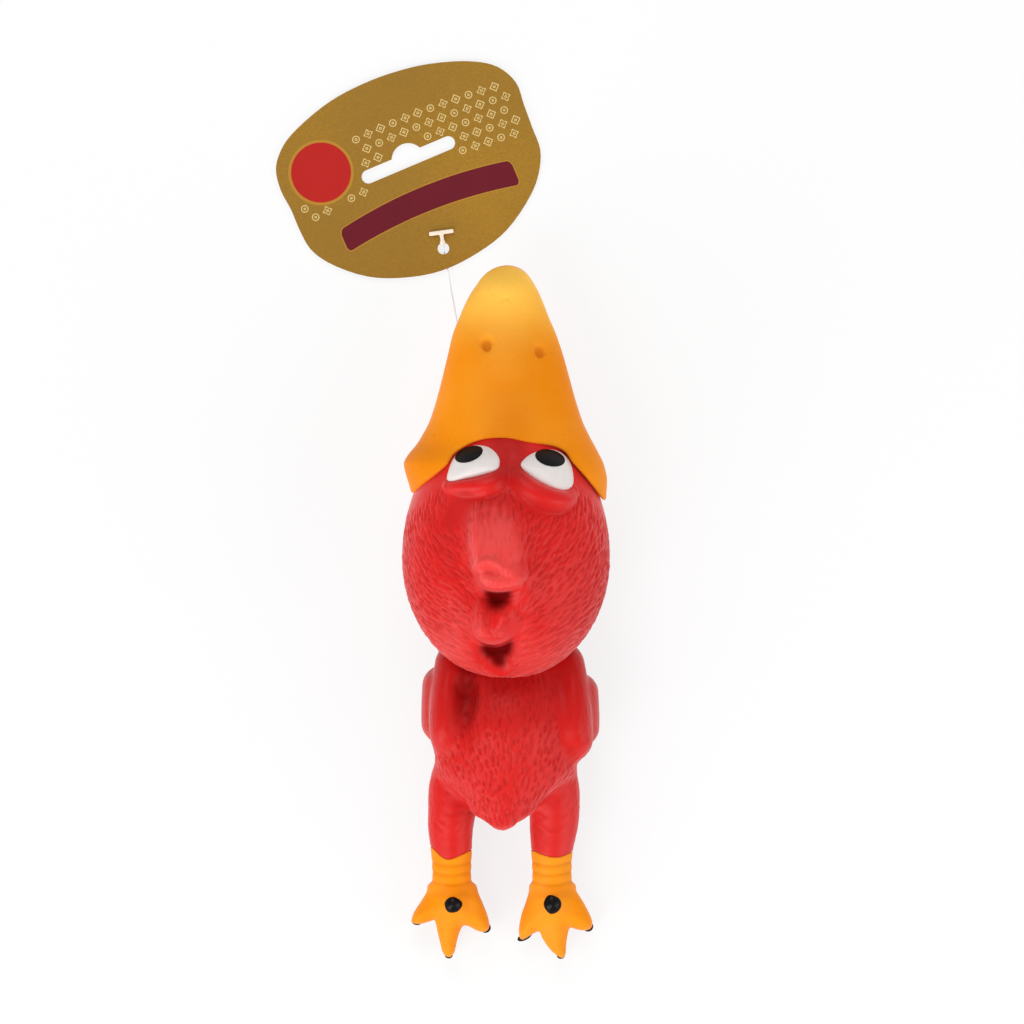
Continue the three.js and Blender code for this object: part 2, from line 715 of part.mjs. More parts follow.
// Legs, feet and claws
const limbs = [
  ['left', leftLegX, leftLegForm, leftFoot, leftToeShares],
  ['right', rightLegX, rightLegForm, rightFoot, rightToeShares],
];
limbs.forEach(([side, x, form, foot, shares]) => {
  const limb = solid(softForm(form));
  const leg = limb.subtract(beyondPaint(x, 1)).subtract(torsoSeat).subtract(hollow);
  toy.add(piece(`${side}_leg`, leg, redLatex));
  const palmPlace = new THREE.Vector3(foot.x, foot.y, palmZ);
  const palm = ellipsoid([palmHalfWidth, palmHalfLength, palmHalfDepth], palmPlace, 0, 0, 12, 7);
  let body = limb.intersect(beyondPaint(x, -1)).add(palm).add(rearToe(foot));
  shares.forEach((share, toe) => {
    body = body.add(alongToe(foot, toe, toeForm(share)));
  });
  body = body.subtract(hollow);
  shares.forEach((share, toe) => {
    body = body.subtract(alongToe(foot, toe, clawForm(share), seatGap));
  });
  toy.add(piece(`${side}_foot`, body.subtract(floorBlock), orangeLatex));
  shares.forEach((share, toe) => {
    toy.add(piece(`${side}_claw_${toe + 1}`, alongToe(foot, toe, clawForm(share)), blackPaint));
  });
  const seat = rearToe(foot);
  const lifted = rearClaw(foot).translate([0, 0, seatGap]);
  toy.add(piece(`${side}_rear_claw`, lifted.subtract(seat.translate([0, 0, seatGap])), blackPaint));
});

// Squeaker
const flangeTop = flangeRecess + flangeThickness;
const chamberBottom = flangeRecess + flangeThickness + chamberFloor;
toy.add(piece('squeaker_body', turned([
  [airHoleRadius, flangeRecess], [flangeRadius, flangeRecess], [flangeRadius, flangeTop],
  [barrelRadius, flangeTop], [barrelRadius, barrelTop], [chamberRadius, barrelTop],
  [chamberRadius, chamberBottom], [airHoleRadius, chamberBottom],
], squeakerBase), squeakerPlastic));
const capBottom = barrelTop + seatGap;
const plugRadius = chamberRadius - seatGap;
toy.add(piece('squeaker_cap', turned([
  [airHoleRadius, capBottom - capPlug], [plugRadius, capBottom - capPlug], [plugRadius, capBottom],
  [barrelRadius, capBottom], [barrelRadius, capBottom + capThickness],
  [airHoleRadius, capBottom + capThickness],
], squeakerBase), squeakerPlastic));
const reedBottom = chamberBottom + seatGap;
const reedTop = capBottom - capPlug - seatGap;
const reed = new THREE.BoxGeometry(reedWidth, reedThickness, reedTop - reedBottom);
reed.translate(squeakerBase.x, squeakerBase.y, (reedTop + reedBottom) / 2);
toy.add(piece('squeaker_reed', solid(reed), squeakerPlastic));

// Filling
const fillingInset = -skinWall - fillingClearance;
const squeakerRoom = roundColumn(collarRadius + fillingClearance, -overrun, capBottom + capThickness + fillingClearance);
const filling = solid(softForm({ ...headForm, ...coarse }, fillingInset))
  .add(solid(softForm({ ...torsoForm, ...coarse }, fillingInset)))
  .subtract(squeakerRoom);
toy.add(piece('fibre_filling', filling, wadding));

// Fastener anchor inside the bill
const stub = rod(stubInside, threadStart.clone().addScaledVector(threadAim, -seatGap), stubRadius);
const barHalf = new THREE.Vector3(0, barLength / 2, 0);
barHalf.applyAxisAngle(new THREE.Vector3(0, 0, 1), THREE.MathUtils.degToRad(barHeading));
const anchor = rod(stubInside.clone().sub(barHalf), stubInside.clone().add(barHalf), barRadius);
toy.add(piece('fastener_bar', stub.add(anchor), clearPlastic));

// Thread
const threadCurve = new THREE.CatmullRomCurve3(threadRoute);
const threadSection = new THREE.Shape();
for (let side = 0; side < threadSides; side += 1) {
  const angle = 2 * Math.PI * side / threadSides;
  const x = threadDiameter / 2 * Math.cos(angle);
  const y = threadDiameter / 2 * Math.sin(angle);
  if (side === 0) threadSection.moveTo(x, y);
  else threadSection.lineTo(x, y);
}
const threadTube = new THREE.ExtrudeGeometry(threadSection, { steps: threadSteps, extrudePath: threadCurve });
toy.add(piece('fastener_thread', solid(threadTube), clearPlastic));

// Card, with its hang slot and round hole, and the paddle that lies on it
const threadEnd = threadRoute[threadRoute.length - 1];
const cardBottom = threadRoute[threadRoute.length - 5].z + threadDiameter / 2 + seatGap;
const cardOutline = new THREE.CatmullRomCurve3(
  cardOutlineShares.map(([u, v]) => new THREE.Vector3(u * cardHalfLength, v * cardHalfWidth, 0)), true,
);
const cardShape = new THREE.Shape(cardOutline.getPoints(100).slice(0, -1).map((p) => new THREE.Vector2(p.x, p.y)));
const slotHalf = slotWidth / 2;
const slotEnd = slotLength / 2 - slotHalf;
const humpHalf = Math.sqrt(slotHumpRadius ** 2 - slotHalf ** 2);
const humpAngle = Math.asin(slotHalf / slotHumpRadius);
const slot = new THREE.Path();
slot.moveTo(-slotEnd, slotRise - slotHalf);
slot.lineTo(slotEnd, slotRise - slotHalf);
slot.absarc(slotEnd, slotRise, slotHalf, -Math.PI / 2, Math.PI / 2, false);
slot.lineTo(humpHalf, slotRise + slotHalf);
slot.absarc(0, slotRise, slotHumpRadius, humpAngle, Math.PI - humpAngle, false);
slot.lineTo(-slotEnd, slotRise + slotHalf);
slot.absarc(-slotEnd, slotRise, slotHalf, Math.PI / 2, 3 * Math.PI / 2, false);
cardShape.holes.push(slot);
const cardHoleY = -cardHalfWidth + cardHoleInset;
const hole = new THREE.Path();
hole.absarc(cardHoleX, cardHoleY, cardHoleRadius, 0, 2 * Math.PI, false);
cardShape.holes.push(hole);
const cardGeometry = new THREE.ExtrudeGeometry(cardShape, {
  depth: cardThickness, bevelEnabled: false, curveSegments: 8,
});
cardGeometry.translate(-cardHoleX, -cardHoleY, 0);
const card = piece('tag_card', solid(cardGeometry), goldCard);
const cardGroup = new THREE.Group();
const holeY = threadEnd.y - holeBehindThread;
cardGroup.position.set(threadEnd.x + holeBehindThread * Math.tan(THREE.MathUtils.degToRad(paddleTilt)), holeY, cardBottom);
cardGroup.rotation.z = THREE.MathUtils.degToRad(cardTilt);
cardGroup.add(card);

const paddleShape = new THREE.Shape();
const stemHalf = paddleArm / 2;
const armTop = paddleStem + paddleArm;
paddleShape.moveTo(-stemHalf, 0);
paddleShape.lineTo(stemHalf, 0);
paddleShape.lineTo(stemHalf, paddleStem);
paddleShape.lineTo(paddleWidth / 2, paddleStem);
paddleShape.lineTo(paddleWidth / 2, armTop);
paddleShape.lineTo(-paddleWidth / 2, armTop);
paddleShape.lineTo(-paddleWidth / 2, paddleStem);
paddleShape.lineTo(-stemHalf, paddleStem);
const paddleGeometry = new THREE.ExtrudeGeometry(paddleShape, { depth: paddleThickness, bevelEnabled: false });
const paddle = piece('fastener_paddle', solid(paddleGeometry), clearPlastic);
paddle.rotation.z = THREE.MathUtils.degToRad(paddleTilt);
paddle.position.set(threadEnd.x, threadEnd.y + seatGap, cardBottom + cardThickness + seatGap);

const part = new THREE.Group();
part.add(toy, cardGroup, paddle);
export default part;
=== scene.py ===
"""Looks of a hollow latex bird for dogs with a card tag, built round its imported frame.

The bird lies on its belly. +Z is up, the bill points along +Y and +X is the right side seen from
above. Lengths are millimetres in the frame's axes until a mesh is made, and metres from there on.
"""

import logging
import math
from collections.abc import Callable, Sequence
from dataclasses import dataclass
from enum import Enum
from functools import cache

import bmesh
import bpy
import numpy as np
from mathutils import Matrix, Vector


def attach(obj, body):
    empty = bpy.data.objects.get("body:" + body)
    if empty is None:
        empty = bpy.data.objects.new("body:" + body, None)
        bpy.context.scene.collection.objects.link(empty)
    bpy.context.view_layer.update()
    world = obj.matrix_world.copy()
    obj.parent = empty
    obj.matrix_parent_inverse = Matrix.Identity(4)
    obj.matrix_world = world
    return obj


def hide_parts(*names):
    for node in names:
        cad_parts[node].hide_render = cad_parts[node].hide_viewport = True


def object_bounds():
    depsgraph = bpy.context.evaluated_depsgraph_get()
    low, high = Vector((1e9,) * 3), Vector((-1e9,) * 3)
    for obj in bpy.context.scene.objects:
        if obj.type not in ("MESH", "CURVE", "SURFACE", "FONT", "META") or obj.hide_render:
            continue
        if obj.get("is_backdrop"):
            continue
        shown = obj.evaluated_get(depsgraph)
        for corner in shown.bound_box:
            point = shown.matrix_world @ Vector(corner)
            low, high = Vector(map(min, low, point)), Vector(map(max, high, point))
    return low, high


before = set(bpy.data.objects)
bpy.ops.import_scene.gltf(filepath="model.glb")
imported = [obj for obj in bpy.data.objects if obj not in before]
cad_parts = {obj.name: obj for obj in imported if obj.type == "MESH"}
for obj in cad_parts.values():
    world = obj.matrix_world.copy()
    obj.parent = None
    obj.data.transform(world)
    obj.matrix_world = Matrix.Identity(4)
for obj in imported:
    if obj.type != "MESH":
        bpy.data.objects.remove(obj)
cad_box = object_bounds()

log = logging.getLogger("bird_toy")

MM = 0.001
PHOTO_PIXELS = 1024
MM_PER_PIXEL = 0.3216
AXIS_PIXEL_X = 506.0
ORIGIN_PIXEL_Y = 612.5
FLOOR_EDGE = 0.6

Table = Sequence[Sequence[float]]
Pair = tuple[float, float]
Place = tuple[float, float, float]
Colour = tuple[float, float, float]


def pixel(x: float, y: float) -> Pair:
    """The place in plan, in millimetres, of a pixel of the photograph.

    Args:
        x: The pixel's column.
        y: The pixel's row.

    Returns:
        The place along X and along Y.
    """
    return (x - AXIS_PIXEL_X) * MM_PER_PIXEL, (ORIGIN_PIXEL_Y - y) * MM_PER_PIXEL


def smooth_step(value: np.ndarray, low: float, high: float) -> np.ndarray:
    """An even ramp from 0 at low to 1 at high: 3u^2 - 2u^3 of the share u between them.

    Args:
        value: What the ramp follows.
        low: Where the ramp leaves 0.
        high: Where the ramp reaches 1.

    Returns:
        The ramp's value at each place.
    """
    share = np.clip((value - low) / (high - low), 0, 1)
    return share * share * (3 - 2 * share)


def bell(value: np.ndarray, width: float | np.ndarray) -> np.ndarray:
    """A hump of height 1 at zero: exp(-(value / width)^2)."""
    return np.exp(-((value / width) ** 2))


def bearings(count: int) -> np.ndarray:
    """Even angles round a full turn."""
    return np.linspace(0, 2 * np.pi, count, endpoint=False)


def turned(u: np.ndarray, v: np.ndarray, degrees: float) -> tuple[np.ndarray, np.ndarray]:
    """Places in plan, turned about zero."""
    a = math.radians(degrees)
    return u * math.cos(a) - v * math.sin(a), u * math.sin(a) + v * math.cos(a)


def smooth_curve(table: Table, fine: int = 256) -> np.ndarray:
    """Rows of a table at even steps of its first column, on a smooth curve through its rows.

    Between two rows each column is a cubic whose slope at a row is the slope between that row's
    two neighbours.

    Args:
        table: Rows in rising order of their first column.
        fine: How many steps the whole range is cut in.

    Returns:
        fine + 1 rows, with the first column included.
    """
    rows = np.asarray(table, float)
    place = rows[:, 0]
    before = np.maximum(np.arange(len(rows)) - 1, 0)
    after = np.minimum(np.arange(len(rows)) + 1, len(rows) - 1)
    slope = (rows[after] - rows[before]) / (place[after] - place[before])[:, None]
    at = np.linspace(place[0], place[-1], fine + 1)
    i = np.clip(np.searchsorted(place, at, side="right") - 1, 0, len(rows) - 2)
    span = (place[i + 1] - place[i])[:, None]
    u = (at[:, None] - place[i][:, None]) / span
    made = (2 * u**3 - 3 * u**2 + 1) * rows[i] + (u**3 - 2 * u**2 + u) * span * slope[i]
    made += (3 * u**2 - 2 * u**3) * rows[i + 1] + (u**3 - u**2) * span * slope[i + 1]
    made[:, 0] = at
    return made


def closed_curve(points: Table, fine: int) -> np.ndarray:
    """A smooth closed line through points, by the cubic of each four neighbours in turn.

    Args:
        points: The points in order round the line.
        fine: How many steps lie between two of them.

    Returns:
        An array of fine times as many points.
    """
    p = np.asarray(points, float)
    a, b, c, d = np.roll(p, 1, 0), p, np.roll(p, -1, 0), np.roll(p, -2, 0)
    u = (np.arange(fine) / fine)[None, :, None]
    a, b, c, d = (x[:, None, :] for x in (a, b, c, d))
    line = b + 0.5 * u * (c - a + u * (2 * a - 5 * b + 4 * c - d + u * (3 * (b - c) + d - a)))
    return line.reshape(-1, p.shape[1])


def plan_line(outline: Table, fine: int = 6) -> np.ndarray:
    """A smooth closed line in plan through pixels of the photograph."""
    return closed_curve([pixel(*point) for point in outline], fine)


def blended_min(a: np.ndarray, b: np.ndarray, soft: float) -> np.ndarray:
    """The lesser of two distances, with the step between them rounded over the length soft."""
    h = np.clip(0.5 + 0.5 * (b - a) / max(soft, 1e-6), 0, 1)
    return b + (a - b) * h - soft * h * (1 - h)


def blended_max(a: np.ndarray, b: np.ndarray, soft: float) -> np.ndarray:
    """The greater of two distances, rounded in the same way."""
    return -blended_min(-a, -b, soft)


def ellipse_distance(*shares: tuple[np.ndarray, np.ndarray | float]) -> np.ndarray:
    """The distance to the skin on which the squares of some shares add up to 1.

    With q the root of the squares' sum, it is (q - 1) q over the length of the gradient of
    half that sum.

    Args:
        *shares: For each direction, a point's offset as a share of the half size, and that size.

    Returns:
        The distance of each point, below zero inside.
    """
    q = np.sqrt(sum(share * share for share, _ in shares))
    fall = np.sqrt(sum((share / half) ** 2 for share, half in shares))
    return q * (q - 1) / np.maximum(fall, 1e-4)


class Form:
    """A solid told by the distance of any point to its skin, below zero inside."""

    def distance(self, points: np.ndarray) -> np.ndarray:
        """The distance of each point to the skin, in millimetres."""
        raise NotImplementedError

    def with_part(self, other: "Form", soft: float) -> "Form":
        """This form and another in one skin, with a fillet of about the length soft."""
        return Joined(self, other, soft)

    def without(self, other: "Form", soft: float) -> "Form":
        """This form with another carved out of it, with its edge rounded over the length soft."""
        return Carved(self, other, soft)


@dataclass
class Joined(Form):
    """Two forms in one skin."""

    first: Form
    second: Form
    soft: float

    def distance(self, points: np.ndarray) -> np.ndarray:
        """The lesser of both distances, rounded where they meet."""
        return blended_min(self.first.distance(points), self.second.distance(points), self.soft)


@dataclass
class Carved(Form):
    """A form with another one taken away."""

    first: Form
    second: Form
    soft: float

    def distance(self, points: np.ndarray) -> np.ndarray:
        """The greater of the first distance and the second one's opposite, rounded."""
        return blended_max(self.first.distance(points), -self.second.distance(points), self.soft)


@dataclass
class Side(Form):
    """All space on one side of a wall that a function of the points tells."""

    wall: Callable[[np.ndarray], np.ndarray]

    def distance(self, points: np.ndarray) -> np.ndarray:
        """The distance to the wall, as its function gives it."""
        return self.wall(points)


@dataclass
class Grown(Form):
    """A form with its skin moved outwards, or inwards where grow is below zero."""

    inner: Form
    grow: float

    def distance(self, points: np.ndarray) -> np.ndarray:
        """The inner form's distance less the growth."""
        return self.inner.distance(points) - self.grow


@dataclass
class Loft(Form):
    """A soft form strung along Y between two round ends.

    Each section is two half ellipses, one for the rise and one for the drop. With X and Z the
    shares of a point's offset in the half width and half height there, and E its share of the way
    into a round end, the skin is where X^2 + Z^2 + E^2 = 1.

    The columns of shares are: place along, half width, rise, drop, sideways shift as a share of
    the half width, and lift as a share of the rise.
    """

    rear: float
    front: float
    rear_round: float
    front_round: float
    half_width: float
    rise: float
    drop: float
    x: float
    z: float
    shares: Table = ((0, 1, 1, 1, 0, 0), (1, 1, 1, 1, 0, 0))
    fine: int = 256

    def __post_init__(self) -> None:
        """Works the smooth curve of the shares out once."""
        self.rows = smooth_curve(self.shares, self.fine).astype(np.float32)

    def section(self, y: np.ndarray) -> tuple[np.ndarray, ...]:
        """Half width, rise, drop, centre X and centre Z at each place along Y.

        Args:
            y: The places.

        Returns:
            One array for each of the five.
        """
        place = np.clip((y - self.rear) / (self.front - self.rear), 0, 1) * self.fine
        low = np.minimum(place.astype(np.int32), self.fine - 1)
        share = (place - low)[:, None]
        row = self.rows[low] * (1 - share) + self.rows[low + 1] * share
        return (self.half_width * row[:, 1], self.rise * row[:, 2], self.drop * row[:, 3],
                self.x + self.half_width * row[:, 4], self.z + self.rise * row[:, 5])

    def way_out(self, y: np.ndarray) -> tuple[np.ndarray, np.ndarray]:
        """The share of the way into a round end at each place along Y, and that end's length."""
        behind = np.maximum(self.rear + self.rear_round - y, 0) / self.rear_round
        ahead = np.maximum(y - self.front + self.front_round, 0) / self.front_round
        return np.maximum(behind, ahead), np.where(behind > ahead, self.rear_round, self.front_round)

    def distance(self, points: np.ndarray) -> np.ndarray:
        """The distance of each point, as the class says."""
        x, y, z = points.T
        wide, rise, drop, centre_x, centre_z = self.section(y)
        high = np.where(z > centre_z, rise, drop)
        return ellipse_distance(((x - centre_x) / wide, wide), ((z - centre_z) / high, high), self.way_out(y))

    def top(self, x: np.ndarray, y: np.ndarray) -> np.ndarray:
        """Height of the skin above points in plan, or of the centreline outside the form."""
        x, y = np.broadcast_arrays(np.asarray(x, np.float32), np.asarray(y, np.float32))
        wide, rise, _, centre_x, centre_z = self.section(y.ravel())
        left = 1 - ((x.ravel() - centre_x) / wide) ** 2 - self.way_out(y.ravel())[0] ** 2
        return (centre_z + rise * np.sqrt(np.maximum(left, 0))).reshape(x.shape)


def turn_matrix(degrees: float) -> np.ndarray:
    """Rotation about Z."""
    a = math.radians(degrees)
    return np.array([[math.cos(a), -math.sin(a), 0], [math.sin(a), math.cos(a), 0], [0, 0, 1]])


@dataclass
class Pod(Form):
    """An ellipsoid of three half sizes, turned about Z."""

    centre: Sequence[float]
    halves: Sequence[float]
    turn: float = 0.0

    def distance(self, points: np.ndarray) -> np.ndarray:
        """The distance of each point, from its offset in the pod's own axes."""
        local = (points - np.asarray(self.centre, np.float32)) @ turn_matrix(self.turn).astype(np.float32)
        return ellipse_distance(*((local[:, a] / half, half) for a, half in enumerate(self.halves)))


@dataclass
class Brick(Form):
    """A box of three half sizes with round edges, turned about Z."""

    centre: Sequence[float]
    halves: Sequence[float]
    round_edge: float
    turn: float = 0.0

    def distance(self, points: np.ndarray) -> np.ndarray:
        """The length of the offset past the inner box, less the round."""
        local = (points - np.asarray(self.centre, np.float32)) @ turn_matrix(self.turn).astype(np.float32)
        past = np.abs(local) - (np.asarray(self.halves, np.float32) - self.round_edge)
        outside = np.linalg.norm(np.maximum(past, 0), axis=1)
        return outside + np.minimum(past.max(1), 0) - self.round_edge


def off_stretch(x: np.ndarray, y: np.ndarray, a: Sequence[float],
                b: Sequence[float]) -> tuple[np.ndarray, np.ndarray]:
    """How far along the stretch from a to b its nearest point to each place in plan lies.

    Args:
        x: The places along X.
        y: The places along Y.
        a: The stretch's start.
        b: Its end.

    Returns:
        The share of the stretch at its nearest point, and the distance to that point.
    """
    way_x, way_y = b[0] - a[0], b[1] - a[1]
    share = ((x - a[0]) * way_x + (y - a[1]) * way_y) / max(way_x**2 + way_y**2, 1e-9)
    share = np.clip(share, 0, 1)
    return share, np.hypot(x - a[0] - share * way_x, y - a[1] - share * way_y)


@dataclass
class Outline:
    """The distance in plan to a closed line, below zero inside it, kept on a raster."""

    line: np.ndarray
    raster: float = 0.2
    margin: float = 8.0

    def __post_init__(self) -> None:
        """Works the distance out at each point of the raster."""
        low, high = self.line.min(0) - self.margin, self.line.max(0) + self.margin
        xs, ys = (np.arange(low[a], high[a], self.raster) for a in (0, 1))
        x, y = np.meshgrid(xs, ys, indexing="ij")
        near = np.full(x.shape, np.inf)
        inside = np.zeros(x.shape, bool)
        for a, b in zip(self.line, np.roll(self.line, -1, 0)):
            near = np.minimum(near, off_stretch(x, y, a, b)[1])
            spans = (a[1] > y) != (b[1] > y)
            rise = b[1] - a[1] if b[1] != a[1] else 1
            inside ^= spans & (x < a[0] + (y - a[1]) * (b[0] - a[0]) / rise)
        self.corner, self.flat = low, np.where(inside, -near, near).astype(np.float32)

    def distance(self, x: np.ndarray, y: np.ndarray) -> np.ndarray:
        """The distance at places in plan, between the raster's four nearest values."""
        u = np.clip((x - self.corner[0]) / self.raster, 0, self.flat.shape[0] - 1.001)
        v = np.clip((y - self.corner[1]) / self.raster, 0, self.flat.shape[1] - 1.001)
        i, j = u.astype(int), v.astype(int)
        a, b = u - i, v - j
        f = self.flat
        return ((1 - a) * (1 - b) * f[i, j] + a * (1 - b) * f[i + 1, j]
                + (1 - a) * b * f[i, j + 1] + a * b * f[i + 1, j + 1])


@dataclass(frozen=True)
class Fold:
    """A soft ridge along a line in plan, or a groove where its height is below zero.

    The line's columns are a pixel's column and row, the height and the half width. With a the
    distance across the line, the height falls off as exp(-(a / half width)^power).
    """

    line: Table
    power: float = 2.0
    fine: int = 36

    def height(self, x: np.ndarray, y: np.ndarray) -> np.ndarray:
        """The fold's height at places in plan."""
        rows = [(i, *pixel(c, r), high, wide) for i, (c, r, high, wide) in enumerate(self.line)]
        rows = smooth_curve(rows, self.fine)[:, 1:]
        near, made = np.full(len(x), np.inf), np.zeros(len(x))
        for a, b in zip(rows[:-1], rows[1:]):
            share, off = off_stretch(x, y, a, b)
            off = off / (a[3] + share * (b[3] - a[3]))
            value = (a[2] + share * (b[2] - a[2])) * np.exp(-(off**self.power))
            made, near = np.where(off < near, value, made), np.minimum(near, off)
        return made


def fold_height(folds: Sequence[Fold], x: np.ndarray, y: np.ndarray) -> np.ndarray:
    """The height of several folds together at places in plan."""
    return sum(fold.height(x, y) for fold in folds)


@dataclass
class Grooved(Form):
    """A form whose upper skin sinks along grooves in plan.

    The distance is the form's less the grooves' height over 1 + |height| / steepness, which keeps
    it short enough where their sides are steep. The grooves fade in over a length above from_z.
    """

    base: Form
    grooves: Sequence[Fold]
    from_z: float
    fade: float = 6.0
    steepness: float = 4.0

    def distance(self, points: np.ndarray) -> np.ndarray:
        """The distance of each point, as the class says."""
        x, y, z = points.T
        rise = fold_height(self.grooves, x, y) * smooth_step(z, self.from_z, self.from_z + self.fade)
        return ((self.base.distance(points) - rise) / (1 + np.abs(rise) / self.steepness)).astype(np.float32)


def on_floor(form: Form) -> Form:
    """A form cut flat by the floor it stands on, with a soft edge."""
    return form.without(Side(lambda points: points[:, 2]), FLOOR_EDGE)


# Nets of quads round forms

# Cubes along a block's edge, how many blocks from the skin count as near, and the value far off
BLOCK, NEAR_BLOCKS, FAR = 4, 1.8, 1e3

# A cube's corners and edges, and the four directions and the length of a gradient's probes
CORNERS = np.array([(i, j, k) for i in (0, 1) for j in (0, 1) for k in (0, 1)])
EDGES = [(a, b) for a in range(8) for b in range(a + 1, 8)
         if np.abs(CORNERS[a] - CORNERS[b]).sum() == 1]
PROBE = np.array([(1, -1, -1), (-1, -1, 1), (-1, 1, -1), (1, 1, 1)], np.float32)
PROBE_STEP = 0.06

# Bounds of one move onto the skin
LEAST_STEEP, LONGEST_MOVE = 0.25, 0.5


def surface_net(form: Form, low: Sequence[float], high: Sequence[float],
                step: float) -> tuple[np.ndarray, np.ndarray]:
    """Wraps a form in an even net of quads.

    Space is cut in cubes. Each cube that the skin crosses gets one vertex, at the mean of the
    points where its edges cross the zero of the distance, and each edge of the cubes that crosses
    the skin gets the quad of the four cubes round it. Blocks of cubes far from the skin are left
    out after one distance at their middle.

    Args:
        form: The form.
        low: The lowest corner of a box that holds it.
        high: The highest corner.
        step: The length of a cube's edge.

    Returns:
        The vertices, and four vertex numbers for each quad, counted so that it faces outwards.
    """
    low = np.asarray(low, np.float32) - step
    blocks = np.ceil((np.asarray(high) + step - low) / (step * BLOCK)).astype(int)
    middles = [low[a] + step * (BLOCK * np.arange(blocks[a]) + (BLOCK - 1) / 2) for a in range(3)]
    at = np.stack(np.meshgrid(*middles, indexing="ij"), -1).reshape(-1, 3).astype(np.float32)
    rough = form.distance(at).reshape(blocks)

    def spread(values: np.ndarray) -> np.ndarray:
        """Each block's value on all of its lattice points."""
        return values.repeat(BLOCK, 0).repeat(BLOCK, 1).repeat(BLOCK, 2)

    value = spread(np.where(rough < 0, -FAR, FAR).astype(np.float32))
    near = spread(np.abs(rough) < NEAR_BLOCKS * BLOCK * step)
    value[near] = form.distance((low + step * np.argwhere(near)).astype(np.float32))
    inside = value < 0
    cells = tuple(n - 1 for n in inside.shape)
    count = sum(inside[i:i + cells[0], j:j + cells[1], k:k + cells[2]].astype(np.int8)
                for i, j, k in CORNERS)
    base = np.argwhere((count > 0) & (count < 8))
    corner = np.stack([value[tuple((base + c).T)] for c in CORNERS], 1)
    total = np.zeros((len(base), 3))
    crossings = np.zeros(len(base))
    for a, b in EDGES:
        crossed = (corner[:, a] < 0) != (corner[:, b] < 0)
        share = np.where(crossed, corner[:, a] / np.where(crossed, corner[:, a] - corner[:, b], 1), 0)
        total += crossed[:, None] * (CORNERS[a] + share[:, None] * (CORNERS[b] - CORNERS[a]))
        crossings += crossed
    points = low + step * (base + total / crossings[:, None])
    number = np.full(cells, -1, np.int32)
    number[tuple(base.T)] = np.arange(len(base))
    quads = []
    for axis in range(3):
        one, two = np.eye(3, dtype=int)[[(axis + 1) % 3, (axis + 2) % 3]]
        ahead = np.diff(inside.astype(np.int8), axis=axis)
        edge = np.argwhere(ahead)
        ring = [number[tuple((edge - off).T)] for off in (one * 0, one, one + two, two)]
        leaves = ahead[tuple(edge.T)] < 0
        ring = np.stack(ring, 1)
        quads.append(np.where(leaves[:, None], ring, ring[:, ::-1]))
    return points, np.concatenate(quads)


def slopes(form: Form, points: np.ndarray) -> tuple[np.ndarray, np.ndarray]:
    """The distance at each point and its gradient, from four probes round the point.

    Args:
        form: The form.
        points: The points.

    Returns:
        The mean distance of the probes, and the gradient.
    """
    probes = [form.distance((points + PROBE_STEP * k).astype(np.float32)) for k in PROBE]
    rise = sum(d[:, None] * k for d, k in zip(probes, PROBE)) / (4 * PROBE_STEP)
    return sum(probes) / 4, rise


def settled(form: Form, points: np.ndarray, quads: np.ndarray, rounds: int) -> np.ndarray:
    """Evens a net out and lays it on its form's skin.

    Each round moves every vertex half way to the mean of its neighbours and then back along the
    gradient g by distance / |g|^2 times g.

    Args:
        form: The form.
        points: The net's vertices.
        quads: Its quads.
        rounds: How often to repeat.

    Returns:
        The vertices' new places.
    """
    start, end = quads.ravel(), np.roll(quads, -1, 1).ravel()
    size = len(points)
    shared = np.bincount(start, minlength=size) + np.bincount(end, minlength=size)
    for _ in range(rounds):
        mean = np.stack([
            np.bincount(start, points[end, a], size) + np.bincount(end, points[start, a], size)
            for a in range(3)
        ], 1) / shared[:, None]
        points = points + 0.5 * (mean - points)
        off, rise = slopes(form, points)
        steep = np.maximum((rise * rise).sum(1), LEAST_STEEP)
        points = points - np.clip(off / steep, -LONGEST_MOVE, LONGEST_MOVE)[:, None] * rise
    return points


def netted(form: Form, low: Sequence[float], high: Sequence[float], step: float,
           rounds: int = 3) -> tuple[np.ndarray, np.ndarray]:
    """An even net of quads on a form's skin.

    Args:
        form: The form.
        low: The lowest corner of a box that holds it.
        high: The highest corner.
        step: The length of a quad's side.
        rounds: How often the net is evened out.

    Returns:
        The vertices and the quads.
    """
    points, quads = surface_net(form, low, high, step)
    return settled(form, points, quads, rounds), quads


def outward(form: Form, points: np.ndarray) -> np.ndarray:
    """The direction that a form's skin faces at each point, of length 1."""
    _, rise = slopes(form, points)
    return rise / np.maximum(np.linalg.norm(rise, axis=1), 1e-6)[:, None]


def in_scene(name: str, data: bpy.types.ID) -> bpy.types.Object:
    """An object of that data, linked to the scene."""
    made = bpy.data.objects.new(name, data)
    bpy.context.scene.collection.objects.link(made)
    return made


def mesh_object(name: str, points: np.ndarray, faces: np.ndarray | Sequence[Sequence[int]],
                values: dict[str, np.ndarray] | None = None, smooth: bool = True) -> bpy.types.Object:
    """A mesh object at the origin with its place in its mesh.

    Args:
        name: The piece's name.
        points: Vertices in millimetres.
        faces: Vertex numbers of each face.
        values: A named number for each vertex, which its material reads.
        smooth: Whether its faces are shaded as one smooth surface.

    Returns:
        The object, in the scene.
    """
    mesh = bpy.data.meshes.new(name)
    faces = faces.tolist() if isinstance(faces, np.ndarray) else [list(f) for f in faces]
    mesh.from_pydata((np.asarray(points) * MM).tolist(), [], faces)
    mesh.polygons.foreach_set("use_smooth", np.full(len(mesh.polygons), smooth))
    for key, numbers in (values or {}).items():
        mesh.attributes.new(key, "FLOAT", "POINT").data.foreach_set("value", numbers.astype(np.float32))
    mesh.update()
    return in_scene(name, mesh)


